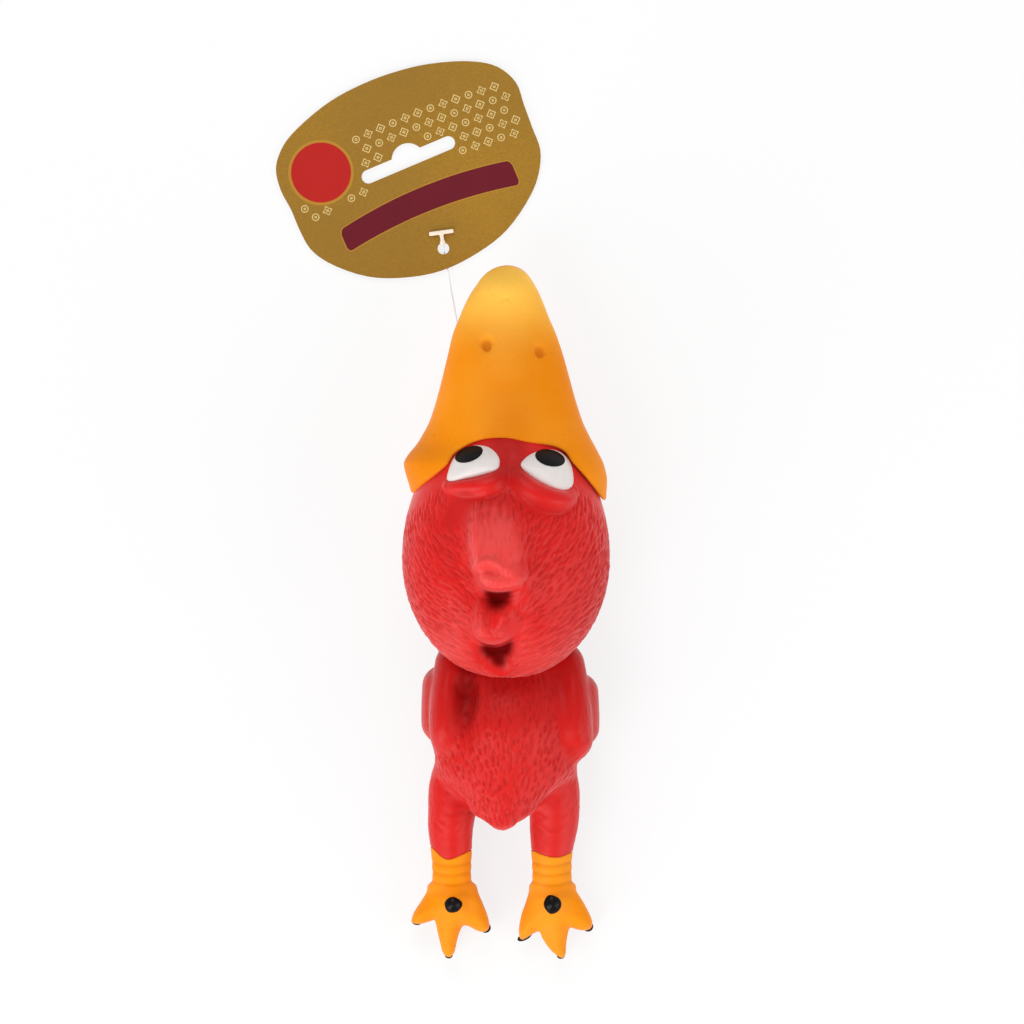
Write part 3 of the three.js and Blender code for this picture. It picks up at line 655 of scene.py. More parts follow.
def wrapped_grid(rows: int, columns: int, ring: bool = False) -> np.ndarray:
    """Quads of a grid whose columns close on themselves, facing outwards for a dome's rows.

    Args:
        rows: How many rows the grid has.
        columns: How many points each row has.
        ring: Whether the last row joins the first one too.

    Returns:
        Four vertex numbers for each quad.
    """
    r, c = np.meshgrid(np.arange(rows - (not ring)), np.arange(columns), indexing="ij")
    below, after = (r + 1) % rows, (c + 1) % columns
    quads = [r * columns + c, below * columns + c, below * columns + after, r * columns + after]
    return np.stack(quads, -1).reshape(-1, 4)


def capped_mesh(name: str, grid: np.ndarray) -> bpy.types.Object:
    """A closed piece from a grid of rings, with a fan of faces on its first and its last ring.

    Args:
        name: The piece's name.
        grid: Points by ring, by place round the ring, by axis.

    Returns:
        The object.
    """
    rows, columns, _ = grid.shape
    points = np.concatenate([grid.reshape(-1, 3), grid[0].mean(0)[None], grid[-1].mean(0)[None]])
    first, last = rows * columns, rows * columns + 1
    c = np.arange(columns)
    after = (c + 1) % columns
    start = np.stack([np.full(columns, first), c, after], 1)
    end = np.stack([np.full(columns, last), (rows - 1) * columns + after, (rows - 1) * columns + c], 1)
    return mesh_object(name, points, wrapped_grid(rows, columns).tolist() + start.tolist() + end.tolist())


# The fine strokes that the mould's plumage leaves in the latex


def scattered(i: np.ndarray, j: np.ndarray, draw: int) -> np.ndarray:
    """A number from 0 to 1 for each cell of a lattice, the same each time.

    Formula: the fraction of 43758.5453 times the sine of a sum of the cell's numbers and the draw.
    """
    return np.modf(np.abs(np.sin(i * 12.9898 + j * 78.233 + draw * 37.719) * 43758.5453))[0]


@dataclass(frozen=True)
class Nicks:
    """Short carved strokes laid over a skin along its plumage.

    The skin is unrolled to a sheet. Each cell of a lattice on it holds one stroke, at a scattered
    place in the cell, turned to the plumage's direction there. Across the stroke its depth falls
    off as exp(-(a / width)^2), and along it as 1 - (l / length)^2, with a low bank on one side.
    Lengths, widths and strengths are each a least share and what is scattered on top of it.
    """

    cell: float
    half_length: float
    width: float
    bank: float
    reach: int = 2
    jitter: float = 0.36
    curl: float = 0.12
    bank_place: float = 1.7
    lengths: Pair = (0.55, 0.6)
    widths: Pair = (0.7, 0.6)
    strengths: Pair = (0.35, 0.65)

    def depth(self, s: np.ndarray, t: np.ndarray, stretch: np.ndarray,
              heading: Callable[[np.ndarray, np.ndarray], np.ndarray]) -> tuple[np.ndarray, np.ndarray]:
        """The strokes' depth at places on the sheet.

        Args:
            s: The places round the skin, in millimetres.
            t: The places along it.
            stretch: What a step of s measures on the skin at each place.
            heading: The plumage's angle from -Y, turning to +X, at a place.

        Returns:
            The carved depth from 0 to 1, and the bank's height in the same units.
        """
        home_i, home_j = np.floor(s / self.cell), np.floor(t / self.cell)
        groove, bank = np.zeros(len(s)), np.zeros(len(s))
        for di in range(-self.reach, self.reach + 1):
            for dj in range(-self.reach, self.reach + 1):
                i, j = home_i + di, home_j + dj
                at_s = (i + scattered(i, j, 1)) * self.cell
                at_t = (j + scattered(i, j, 2)) * self.cell
                angle = heading(at_s, at_t) + self.jitter * (scattered(i, j, 3) - 0.5)
                length = self.half_length * (self.lengths[0] + self.lengths[1] * scattered(i, j, 4))
                width = self.width * (self.widths[0] + self.widths[1] * scattered(i, j, 5))
                strength = self.strengths[0] + self.strengths[1] * scattered(i, j, 6)
                ds, dt = (s - at_s) * stretch, t - at_t
                along = ds * np.sin(angle) - dt * np.cos(angle)
                across = ds * np.cos(angle) + dt * np.sin(angle)
                across = across + self.curl * along * along / length * (scattered(i, j, 7) - 0.5)
                taper = np.clip(1 - (along / length) ** 2, 0, 1) * strength
                groove = np.maximum(groove, taper * bell(across, width))
                bank = np.maximum(bank, taper * bell(across - self.bank_place * width, width))
        return groove, self.bank * bank * (1 - groove)


# Finishes


class Slot(Enum):
    """The record's material slots."""

    RED = "red_latex"
    ORANGE = "orange_latex"
    WHITE = "white_paint"
    BLACK = "black_paint"
    SQUEAKER = "squeaker_plastic"
    WADDING = "wadding"
    CLEAR = "clear_plastic"
    CARD = "gold_card"


def linear(hex_colour: int) -> Colour:
    """A screen colour as the linear numbers that a shader takes.

    Args:
        hex_colour: Red, green and blue of 8 bits each.

    Returns:
        The three linear shares.
    """
    shares = [(hex_colour >> shift & 255) / 255 for shift in (16, 8, 0)]
    return tuple(v / 12.92 if v <= 0.04045 else ((v + 0.055) / 1.055) ** 2.4 for v in shares)


class Graph:
    """Adds and links the nodes of one tree."""

    def __init__(self, tree: bpy.types.NodeTree) -> None:
        """Starts on a tree."""
        self.tree = tree

    def fill(self, node: bpy.types.Node, inputs: dict[str | int, object]) -> None:
        """Gives a node its inputs.

        Args:
            node: The node.
            inputs: For each input, by name or number, a value or the socket that feeds it.
        """
        for key, value in inputs.items():
            named = (s for s in node.inputs if s.name == key and s.enabled)
            socket = node.inputs[key] if isinstance(key, int) else next(named)
            if isinstance(value, bpy.types.NodeSocket):
                self.tree.links.new(value, socket)
            elif isinstance(value, tuple) and len(value) == 3 and socket.type == "RGBA":
                socket.default_value = (*value, 1)
            else:
                socket.default_value = value

    def add(self, kind: str, inputs: dict[str | int, object] | None = None,
            **settings: object) -> bpy.types.Node:
        """Adds a node.

        Args:
            kind: The node's type name, without its ShaderNode start.
            inputs: Its inputs, as for fill.
            **settings: The node's own settings.

        Returns:
            The node.
        """
        node = self.tree.nodes.new(kind if kind.startswith("Node") else "ShaderNode" + kind)
        for key, value in settings.items():
            setattr(node, key, value)
        self.fill(node, inputs or {})
        return node

    def math(self, operation: str, a: object, b: object, clamp: bool = False) -> bpy.types.NodeSocket:
        """The result of a sum or other operation on two numbers."""
        return self.add("Math", {0: a, 1: b}, operation=operation, use_clamp=clamp).outputs[0]

    def mix(self, share: object, a: object, b: object) -> bpy.types.NodeSocket:
        """A colour between two, at a share of the way."""
        return self.add("Mix", {0: share, 6: a, 7: b}, data_type="RGBA").outputs[2]

    def ramp(self, value: object, low: float, high: float) -> bpy.types.NodeSocket:
        """A value from 0 at low to 1 at high, held between them."""
        inputs = {"Value": value, "From Min": low, "From Max": high}
        return self.add("MapRange", inputs, interpolation_type="SMOOTHSTEP").outputs[0]

    def noise(self, place: object, scale: float, detail: float) -> bpy.types.NodeSocket:
        """Even noise from 0 to 1 with about scale waves to the metre."""
        return self.add("TexNoise", {"Vector": place, "Scale": scale, "Detail": detail}).outputs[0]

    def seen(self) -> bpy.types.NodeSocket:
        """1 for rays from the camera, from gloss and through clear plastic, and 0 for the rest."""
        path = self.add("LightPath").outputs
        seen = self.math("MAXIMUM", path["Is Camera Ray"], path["Is Glossy Ray"])
        return self.math("MAXIMUM", seen, path["Is Transmission Ray"])


def new_material(name: str) -> tuple[bpy.types.Material, Graph, bpy.types.Node]:
    """A material, the graph to fill it with and its shader."""
    made = bpy.data.materials.new(name)
    made.use_nodes = True
    return made, Graph(made.node_tree), made.node_tree.nodes["Principled BSDF"]


def new_group(name: str, inputs: Sequence[tuple[str, str, object]],
              outputs: Sequence[tuple[str, str]]) -> tuple[bpy.types.NodeTree, Graph]:
    """An empty node group with its sockets.

    Args:
        name: The group's name.
        inputs: Name, kind and first value of each input.
        outputs: Name and kind of each output.

    Returns:
        The group and a graph to fill it with.
    """
    tree = bpy.data.node_groups.new(name, "ShaderNodeTree")
    for title, kind, value in inputs:
        socket = tree.interface.new_socket(title, in_out="INPUT", socket_type="NodeSocket" + kind)
        socket.default_value = (*value, 1) if kind == "Color" else value
    for title, kind in outputs:
        tree.interface.new_socket(title, in_out="OUTPUT", socket_type="NodeSocket" + kind)
    return tree, Graph(tree)


# The moulded skin: waves to the metre of its clouds, specks and peel, and what they do
CLOUD_WAVES, SPECK_WAVES, PEEL_WAVES = 38.0, 640.0, 1900.0
CLOUD_RAMP, SPECK_RAMP = (0.42, 0.72), (0.62, 0.8)
SPECK_DARK, SPECK_GLOSS = 0.22, 0.16


@cache
def moulded_skin_group() -> bpy.types.NodeTree:
    """Cloudy colour, painted shade in low places, a paler tone where the mesh asks for it (the pale paint of
    the bill's tip, and sheen painted pale on the head) and a fine orange peel, for dipped latex.

    Returns:
        A group that takes the skin's colours and puts out colour, roughness and height.
    """
    tree, g = new_group(
        "moulded_skin",
        [("Colour", "Color", (0.5, 0.5, 0.5)), ("Deep", "Color", (0.1, 0.1, 0.1)),
         ("Pale", "Color", (0.8, 0.8, 0.8)), ("Low", "Float", 0.0), ("Pale_and_sheen", "Float", 0.0),
         ("Cloud", "Float", 0.3), ("Gloss", "Float", 0.5)],
        [("Colour", "Color"), ("Roughness", "Float"), ("Height", "Float")],
    )
    given = g.add("NodeGroupInput").outputs
    place = g.add("TexCoord").outputs["Object"]
    broad = g.noise(place, CLOUD_WAVES, 3.0)
    specks, peel = (g.noise(place, waves, 2.0) for waves in (SPECK_WAVES, PEEL_WAVES))
    pale = g.math("MULTIPLY", g.ramp(broad, *CLOUD_RAMP), given["Cloud"])
    # The next input adds the pale paint of the bill's tip and the sheen painted pale on the head
    pale = g.math("ADD", pale, given["Pale_and_sheen"], clamp=True)
    colour = g.mix(pale, given["Colour"], given["Pale"])
    dark = g.math("MULTIPLY", g.ramp(specks, *SPECK_RAMP), SPECK_DARK)
    # Painted shade: the Low input, with the random specks, darkens the colour towards the deep one
    colour = g.mix(g.math("ADD", dark, given["Low"], clamp=True), colour, given["Deep"])
    spread = g.math("MULTIPLY", g.math("SUBTRACT", specks, 0.5), SPECK_GLOSS)
    rough = g.math("ADD", given["Gloss"], spread, clamp=True)
    height = g.math("ADD", g.math("MULTIPLY", peel, 0.5), g.math("MULTIPLY", specks, 0.5))
    g.add("NodeGroupOutput", {"Colour": colour, "Roughness": rough, "Height": height})
    return tree


@dataclass(frozen=True)
class Latex:
    """Painted latex: its colour, a darker colour for random specks and for shade painted into low places, and
    a paler one for random clouds, pale paint and painted sheen.
    """

    name: str
    colour: int
    deep: int
    pale: int
    roughness: float
    cloud: float
    slot: Slot
    peel: float = 0.00004
    sheen: float = 0.2
    bloom: float = 0.2
    bloom_roughness: float = 0.4
    bump: float = 0.6

    def material(self) -> bpy.types.Material:
        """Builds the finish, which reads from the mesh how much shade is painted on the skin, and how much
        pale paint and painted sheen.
        """
        made, g, shader = new_material(self.name)
        low, pale_and_sheen = (g.add("Attribute", attribute_name=key).outputs["Fac"] for key in ("low", "pale_and_sheen"))
        skin = g.add("Group", {
            "Colour": linear(self.colour), "Deep": linear(self.deep), "Pale": linear(self.pale),
            "Low": low, "Pale_and_sheen": pale_and_sheen, "Cloud": self.cloud, "Gloss": self.roughness,
        }, node_tree=moulded_skin_group()).outputs
        bump = g.add("Bump", {"Strength": self.bump, "Distance": self.peel, "Height": skin["Height"]})
        # Where shade is painted, gloss and sheen fade too, so the painted shade stays dark
        unshaded = g.math("SUBTRACT", 1.0, low, clamp=True)
        g.fill(shader, {
            "Base Color": skin["Colour"], "Roughness": skin["Roughness"], "Normal": bump.outputs["Normal"],
            "Specular IOR Level": g.math("MULTIPLY", unshaded, self.sheen),
            "Sheen Weight": g.math("MULTIPLY", unshaded, self.bloom), "Sheen Roughness": self.bloom_roughness,
        })
        return made


@dataclass(frozen=True)
class Plain:
    """A finish of one colour with a fine grain in its colour, gloss and height."""

    name: str
    colour: int
    shade: int
    roughness: float
    slot: Slot
    grain: float = 700.0
    grain_depth: float = 0.00002
    metallic: float = 0.0
    sheen: float = 0.5
    ior: float = 1.5
    broad: float = 0.11
    shade_ramp: Pair = (0.4, 0.66)
    gloss_spread: float = 0.2
    bump: float = 0.5

    def material(self) -> bpy.types.Material:
        """Builds the finish."""
        made, g, shader = new_material(self.name)
        place = g.add("TexCoord").outputs["Object"]
        fine = g.noise(place, self.grain, 3.0)
        broad = g.noise(place, self.grain * self.broad, 2.0)
        share = g.math("ADD", g.math("MULTIPLY", fine, 0.5), g.math("MULTIPLY", broad, 0.5))
        spread = g.math("MULTIPLY", g.math("SUBTRACT", fine, 0.5), self.gloss_spread)
        bump = g.add("Bump", {"Strength": self.bump, "Distance": self.grain_depth, "Height": fine})
        g.fill(shader, {
            "Base Color": g.mix(g.ramp(share, *self.shade_ramp), linear(self.colour), linear(self.shade)),
            "Roughness": g.math("ADD", self.roughness, spread, clamp=True), "Normal": bump.outputs["Normal"],
            "Metallic": self.metallic, "Specular IOR Level": self.sheen, "IOR": self.ior,
        })
        return made


RED_LATEX = Latex("red_latex", 0xD01410, 0x600405, 0xE2403C, 0.45, 0.14, Slot.RED, bloom=0.26)
ORANGE_LATEX = Latex("orange_latex", 0xF08C09, 0xBE5804, 0xFFCA54, 0.48, 0.12, Slot.ORANGE,
                     sheen=0.08, bloom=0.07)
EYE_WHITE = Plain("eye_white", 0xE4DEDB, 0xDFD9D6, 0.42, Slot.WHITE, 300.0, 0.00001, sheen=0.3)
PUPIL_BLACK = Plain("pupil_black", 0x080708, 0x0E0C0E, 0.42, Slot.BLACK, sheen=0.08)
CLAW_BLACK = Plain("claw_black", 0x080405, 0x0E080A, 0.25, Slot.BLACK, sheen=0.1)
SQUEAKER_WHITE = Plain("squeaker_white", 0xE2E1DD, 0xD6D5D0, 0.35, Slot.SQUEAKER)
WADDING_WHITE = Plain("wadding_white", 0xE6E4DE, 0xCCC9C0, 0.95, Slot.WADDING, 420.0, 0.0004)
CLEAR_PLASTIC = Plain("clear_plastic", 0xF4E6D4, 0xECDDC8, 0.3, Slot.CLEAR, 500.0, 0.000002, ior=1.49)
THREAD_PLASTIC = Plain("thread_plastic", 0xF4F4FA, 0xEEEEF8, 0.4, Slot.CLEAR, sheen=0.3)
CARD_GOLD = Plain("card_gold", 0x8E6926, 0xA4791F, 0.42, Slot.CARD, 2600.0, 0.00001, metallic=0.2, sheen=0.2,
                  broad=0.005)
PRINT_MAROON = Plain("print_maroon", 0x641522, 0x601420, 0.4, Slot.CARD, sheen=0.15)
PRINT_RED = Plain("print_red", 0xB4231F, 0xAE221E, 0.35, Slot.CARD, sheen=0.15)
PRINT_PALE = Plain("print_pale", 0xD6BC7C, 0xD0B678, 0.4, Slot.CARD, sheen=0.2)
PRINT_RIM = Plain("print_rim", 0xB0802C, 0xAC7C2A, 0.4, Slot.CARD, sheen=0.2)


class Wardrobe:
    """Builds each finish once and puts it on pieces."""

    def __init__(self) -> None:
        """Starts with no finish built."""
        self.made: dict[str, bpy.types.Material] = {}

    def dress(self, piece: bpy.types.Object, finish: Latex | Plain) -> bpy.types.Object:
        """Puts a finish on a piece.

        Args:
            piece: The piece.
            finish: What it is dressed in.

        Returns:
            The piece.
        """
        if finish.name not in self.made:
            self.made[finish.name] = finish.material()
        piece.data.materials.clear()
        piece.data.materials.append(self.made[finish.name])
        return piece


# The toy's forms

# The globe of the head, which the crest, the lids, the bill and the back all sit on
HEAD_Y = 17.5
HEAD_Z = 29.5
GLOBE = Loft(rear=HEAD_Y - 39.2, front=HEAD_Y + 46, rear_round=39.2, front_round=46,
             half_width=33.4, rise=30, drop=30, x=0, z=HEAD_Z)

# Brim edge in plan, from the left corner over the forehead to the right one
BRIM_EDGE = [(-36, 33.5), (-31.5, 37.2), (-29.3, 38.6), (-27, 40.7), (-19, 47.3), (-16.7, 50.8),
             (-11.6, 54.1), (-6.4, 55.7), (0.6, 55.9), (6.8, 54.6), (15.1, 53.4), (19, 51.5), (21.5, 48),
             (25.1, 43.9), (28.3, 39.9), (30.9, 36.5), (36, 33)]
BRIM_CURVE = smooth_curve(BRIM_EDGE)


def brim_y(x: np.ndarray) -> np.ndarray:
    """How far forward the brim's edge lies at a place across."""
    return np.interp(x, BRIM_CURVE[:, 0], BRIM_CURVE[:, 1]).astype(np.float32)


@dataclass
class Eye:
    """One painted eye: a raised white dome with a black pupil, told by its outline in plan."""

    side: str
    centre: Pair
    outline: Table
    pupil_centre: Pair
    pupil_halves: Pair
    pupil_tilt: float
    rise: float = 3.6
    fullness: float = 0.62
    sink: float = 0.25
    skirt: float = 2.6
    pupil_rise: float = 0.35
    rings: int = 26
    around: int = 128
    pupil_around: int = 72

    # Rings of a pupil: the share of its half sizes, and of its rise, from its middle to its underside
    pupil_rings: Table = (*((share, 1.0) for share in np.linspace(0.04, 0.9, 14)),
                          (0.95, 0.92), (0.985, 0.7), (1, 0.25), (1, -1.4), (0.5, -1.6))

    def __post_init__(self) -> None:
        """Turns the outline into a radius for each angle round the centre."""
        self.place = pixel(*self.centre)
        line = plan_line(self.outline, 24) - np.asarray(self.place)
        angle = np.mod(np.arctan2(line[:, 1], line[:, 0]), 2 * np.pi)
        order = np.argsort(angle)
        self.angles = angle[order]
        self.radii = np.hypot(line[:, 0], line[:, 1])[order]

    def radius(self, angle: np.ndarray) -> np.ndarray:
        """The outline's radius at each angle."""
        return np.interp(np.mod(angle, 2 * np.pi), self.angles, self.radii, period=2 * np.pi)

    def height(self, x: np.ndarray, y: np.ndarray) -> np.ndarray:
        """Height of the dome's skin in plan.

        With r the share of the way from the centre to the outline, the dome stands
        rise times (1 - r^2)^fullness over the head's skin.
        """
        dx, dy = x - self.place[0], y - self.place[1]
        share = np.hypot(dx, dy) / self.radius(np.arctan2(dy, dx))
        return GLOBE.top(x, y) - self.sink + self.rise * np.clip(1 - share**2, 0, 1) ** self.fullness

    def dome(self) -> bpy.types.Object:
        """The white dome, with a skirt that goes down into the head."""
        share = np.sin(np.linspace(0.02, 1, self.rings) * np.pi / 2)[:, None]
        angle = bearings(self.around)[None, :]
        reach = share * self.radius(angle)
        x, y = self.place[0] + reach * np.cos(angle), self.place[1] + reach * np.sin(angle)
        grid = np.stack([x, y, self.height(x, y)], -1)
        down = grid[-1:] - np.array([0, 0, self.skirt])
        return capped_mesh(f"{self.side}_eye_dome", np.concatenate([grid, down]))

    def pupil(self) -> bpy.types.Object:
        """The black oval, a thin raised lens that follows the dome."""
        share, lift = np.array(self.pupil_rings).T[:, :, None]
        angle = bearings(self.pupil_around)[None, :]
        wide, high = self.pupil_halves
        x, y = turned(share * wide * np.cos(angle), share * high * np.sin(angle), self.pupil_tilt)
        centre = pixel(*self.pupil_centre)
        x, y = centre[0] + x, centre[1] + y
        grid = np.stack([x, y, self.height(x, y) + lift * self.pupil_rise], -1)
        return capped_mesh(f"{self.side}_eye_pupil", grid)


LEFT_EYE = Eye(
    "left", (474, 465),
    [(448, 482.5), (449.3, 468), (456, 455), (466, 448), (477, 445.3), (489, 447.5), (497.5, 455),
     (499.8, 463), (497, 470.5), (484, 475.5), (466, 479.8)],
    (469, 454.4), (4.7, 2.4), 20,
)
RIGHT_EYE = Eye(
    "right", (548, 470),
    [(520.6, 466.5), (524.5, 459), (533.5, 453), (547.5, 449.2), (561, 452.5), (570, 462), (573.4, 477),
     (571.3, 488), (560.5, 491.8), (545, 486.5), (529, 476.5)],
    (550, 458), (4.9, 2.65), -14,
)


@dataclass
class Tongue(Form):
    """A tongue of skin that lies on the globe and ends in a step, told by its outline in plan.

    With u the share of the way in from the outline over the width of its shoulder, it rises from
    sink under the globe to H over it by 1 - (1 - u)^2 at a crisp edge and 3u^2 - 2u^3 at a soft one.

    The columns of rows are: a pixel's row, H, the shoulder's width on the left and on the right,
    and how soft each of the two is, from 0 to 1.
    """

    outline: Table
    rows: Table
    middle: Pair
    sink: float = 1.5
    flank: float = 1.6

    def __post_init__(self) -> None:
        """Lays the outline out, puts the rows in order along Y and finds where left turns to right."""
        self.plan = Outline(plan_line(self.outline))
        self.table = np.array([(pixel(0, row)[1], *rest) for row, *rest in self.rows])[::-1]
        self.turn = [pixel(column, 0)[0] for column in self.middle]

    def distance(self, points: np.ndarray) -> np.ndarray:
        """The height over the tongue's skin, over its steepest slope, kept inside its outline."""
        x, y, z = points.T
        high, left, right, soft, soft_right = (
            np.interp(y, self.table[:, 0], column) for column in self.table[:, 1:].T)
        side = smooth_step(x, *self.turn)
        wide = left + (right - left) * side
        soft = soft + (soft_right - soft) * side
        flat = self.plan.distance(x, y)
        u = np.clip(-flat / wide, 0, 1)
        rise = (1 - soft) * (1 - (1 - u) ** 2) + soft * u * u * (3 - 2 * u)
        proud = (high + self.sink) * rise - self.sink - np.clip(flat, 0, 1)
        over = (z - GLOBE.top(x, y) - proud) / np.sqrt(self.flank + (2 * high / wide) ** 2)
        return np.maximum(np.maximum(over, flat - 1), HEAD_Z - z).astype(np.float32)


@dataclass
class Head:
    """The head's skin: a globe with two tongues of crest, a hollow at each one's tip, and two lids."""

    step: float = 0.496
    rounds: int = 4
    nick_depth: float = 0.48
    low: Place = (-37, -26, -2)
    high: Place = (37, 65, 68)
    sheet_radius: float = 31.0
    least_radius: float = 8.0
    crest_soft: float = 1.2
    grooves_from: float = HEAD_Z + 6
    nicks: Nicks = Nicks(cell=1.9, half_length=2.3, width=0.39, bank=0.45)

    # Columns of the folds: a pixel's column and row, height and half width
    lids: tuple[Fold, ...] = (
        Fold(((449, 487, 1.2, 1.8), (460, 488, 2.2, 2.1), (472, 487.5, 2.6, 2.4), (484, 486, 2.7, 2.7),
              (494, 482, 2.4, 2.6), (502, 475, 1.5, 2.1), (506, 467, 0.2, 1.5)), 3.0),
        Fold(((514.5, 467, 0.3, 1.8), (518.5, 479, 2.2, 2.7), (530, 490.5, 3.2, 3.3),
              (544, 498, 3.4, 3.5), (558, 501, 3.1, 3.1), (567, 499, 2.3, 2.4), (574, 491, 0.6, 1.5)), 3.0),
    )
    creases: tuple[Fold, ...] = (
        Fold(((447, 493, -0.2, 1.0), (462, 496.5, -0.5, 1.1), (480, 498, -0.55, 1.1), (494, 496, -0.5, 1.0),
              (505, 485, -0.2, 0.9))),
        Fold(((512, 480, -0.2, 0.9), (517.5, 495, -0.5, 1.1), (530, 506, -0.7, 1.3), (545, 512.5, -0.8, 1.4),
              (560, 513, -0.7, 1.3), (573, 507, -0.3, 1.1))),
        Fold(((466, 498, -0.8, 3.0), (456, 518, -1.8, 3.8), (453, 543, -2.2, 4.0), (457, 566, -2.2, 3.6),
              (465, 588, -1.9, 3.0), (470, 602, -1.0, 2.4), (472, 614, -0.3, 2.4))),
        Fold(((510, 450, -0.3, 2.4), (509, 468, -0.8, 2.4), (508, 486, -0.3, 2.4))),
    )
    nose: tuple[Fold, ...] = (
        Fold(((473, 581, 0.1, 1.0), (473.5, 571, 0.5, 1.1), (478, 564, 0.9, 1.2), (486, 560.5, 1.1, 1.2),
              (495, 562, 1.0, 1.2), (502, 567, 0.7, 1.1), (512, 570, 0.2, 1.0))),
        Fold(((480, 573, -0.8, 1.2), (486, 570.5, -1.7, 1.3), (495, 572.5, -1.6, 1.2), (503, 576, -0.8, 1.1),
              (512, 577, -0.2, 1.1))),
    )

    # How height over the floor, height over the globe and place along Y fade what lies on the skin
    top_ramp: Pair = (HEAD_Z + 2, HEAD_Z + 10)
    nose_ramp: Pair = (2, 4)
    hollow_ramp: Pair = (0.7, 2.0)
    crease_ramp: Pair = (0.3, 0.8)
    crease_rows: Pair = (25, 30)
    forehead_rows: Pair = (36, 44)
    lobe_row: float = 598.0

    # How much shade is painted into strokes, hollows and creases and onto the forehead under the brim, and
    # how much sheen is painted as a pale tone on the ridge, most on its left side, and where the skin faces
    # the tail
    stroke_dark: float = 0.32
    hollow_dark: float = 0.95
    crease_dark: float = 0.2
    forehead_dark: float = 0.3
    ridge_sheen: float = 0.95
    rear_sheen: float = 0.7

    # The plumage's lean on the cheeks and at the rear, how much of it the brow takes back, and
    # how far left of the middle it parts
    cheek_lean: float = 0.72
    rear_lean: float = 0.25
    brow_calm: float = 0.9
    parting: float = 2.0

    def __post_init__(self) -> None:
        """Lays the two tongues of the crest on the globe and draws the hollows below their tips."""
        self.crest = [
            Tongue([(474, 580), (468, 596), (466, 614), (471, 631), (480, 640.5), (490.5, 644.5),
                    (501, 643), (512, 637), (525, 629.5), (542, 619), (558, 600), (562, 570), (552, 540),
                    (520, 524), (490, 530), (478, 556)],
                   [(530, 0.6, 8, 14, 1, 1), (570, 4.2, 7, 14, 0.8, 1), (595, 5.6, 6, 14, 0.6, 1),
                    (612, 6.4, 5.5, 13, 0.5, 1), (628, 6.8, 4.4, 9, 0.2, 0.6), (644, 6.8, 3.2, 4.0, 0, 0)],
                   (484, 520)),
            Tongue([(480, 486), (498, 478), (514, 477), (530, 486), (545, 504), (552, 524), (552, 545),
                    (547, 561), (539, 574), (531, 583), (521, 590), (508, 593.5), (496, 594), (485, 592),
                    (477, 586.5), (470, 576), (464, 565), (459.5, 554), (457, 540), (457, 524),
                    (460, 507), (468, 494)],
                   [(477, 0.3, 7, 10, 1, 1), (500, 2.4, 7, 13, 1, 1), (520, 4.4, 7, 14, 1, 1),
                    (545, 6.4, 6.5, 14, 0.8, 1), (562, 7.4, 5.5, 12, 0.5, 0.8),
                    (577, 7.8, 4.2, 4.6, 0.1, 0.15), (593, 7.6, 2.8, 3.2, 0, 0)],
                   (484, 520)),
        ]
        self.hollows = [
            [Fold(((496, 578, -5.2, 5.4), (496, 592, -5.2, 5.4), (495, 600, -4.0, 4.8),
                   (493, 610, -2.6, 4.0), (492, 622, -1.7, 3.4), (491, 634, -1.0, 2.8),
                   (490.5, 643, -0.3, 2.4))),
             Fold(((508, 580, -1.2, 5.0), (508, 598, -1.2, 5.0), (504, 616, -0.5, 4.2)))],
            [Fold(((496, 634, -7.0, 6.4), (497, 646, -7.0, 6.2), (498, 654, -5.4, 5.0),
                   (499.5, 662, -4.8, 4.0), (501, 670, -3.7, 3.1), (502, 680, -2.0, 2.2)))],
        ]

    def form(self) -> Form:
        """The whole head, from the globe up: each hollow is sunk before the tongue over it is laid."""
        lower, upper = self.crest
        skin = Grooved(GLOBE, self.hollows[1], self.grooves_from).with_part(lower, self.crest_soft)
        skin = Grooved(skin, self.hollows[0], self.grooves_from).with_part(upper, self.crest_soft)
        return on_floor(skin)

    def heading(self, s: np.ndarray, t: np.ndarray) -> np.ndarray:
        """The plumage's angle: straight back on the ridge, drawn to the middle on the cheeks."""
        off = s + self.parting
        lean = self.cheek_lean * smooth_step(np.abs(off), 4, 15) + self.rear_lean * smooth_step(t, 16, -4)
        brow = smooth_step(t, 22, 40) * smooth_step(np.abs(off), 12, 26)
        return -np.sign(off) * lean * (1 - self.brow_calm * brow)

    def build(self) -> bpy.types.Object:
        """Nets the form, folds it, carves the plumage and stores the shade and the sheen painted on each
        vertex.
        """
        form = self.form()
        points, quads = netted(form, self.low, self.high, self.step, self.rounds)
        facing = outward(form, points)
        x, y, z = points.T
        proud = GLOBE.distance(points.astype(np.float32))
        on_top = smooth_step(z, *self.top_ramp)
        lids, creases = (fold_height(folds, x, y) * on_top for folds in (self.lids, self.creases))
        nose = fold_height(self.nose, x, y) * smooth_step(proud, *self.nose_ramp)
        first, second = (-fold_height(folds, x, y) * on_top for folds in self.hollows)
        first *= smooth_step(proud, 6.0, 5.0)
        second *= smooth_step(proud, 2.4, 1.2)
        whole = 1 - smooth_step(np.maximum(first, second), *self.hollow_ramp)
        creased = smooth_step(-creases, *self.crease_ramp) * smooth_step(y, *self.crease_rows)

        radius = np.hypot(x, z - HEAD_Z)
        round_place = self.sheet_radius * np.arctan2(x, z - HEAD_Z)
        stretch = np.maximum(radius, self.least_radius) / self.sheet_radius
        groove, bank = self.nicks.depth(round_place, y, stretch, self.heading)
        calm = smooth_step(brim_y(x) - y, 1.5, 9) * smooth_step(y, 47, 37) * smooth_step(z, 0.3, 2.5)
        calm *= (1 - smooth_step(lids, 0.1, 0.9)) * (1 - creased)
        calm *= (1 - 0.6 * smooth_step(proud, 3.6, 5.0)) * whole
        carved = self.nick_depth * calm * (bank - groove)
        points = points + (lids + creases + nose + carved)[:, None] * facing
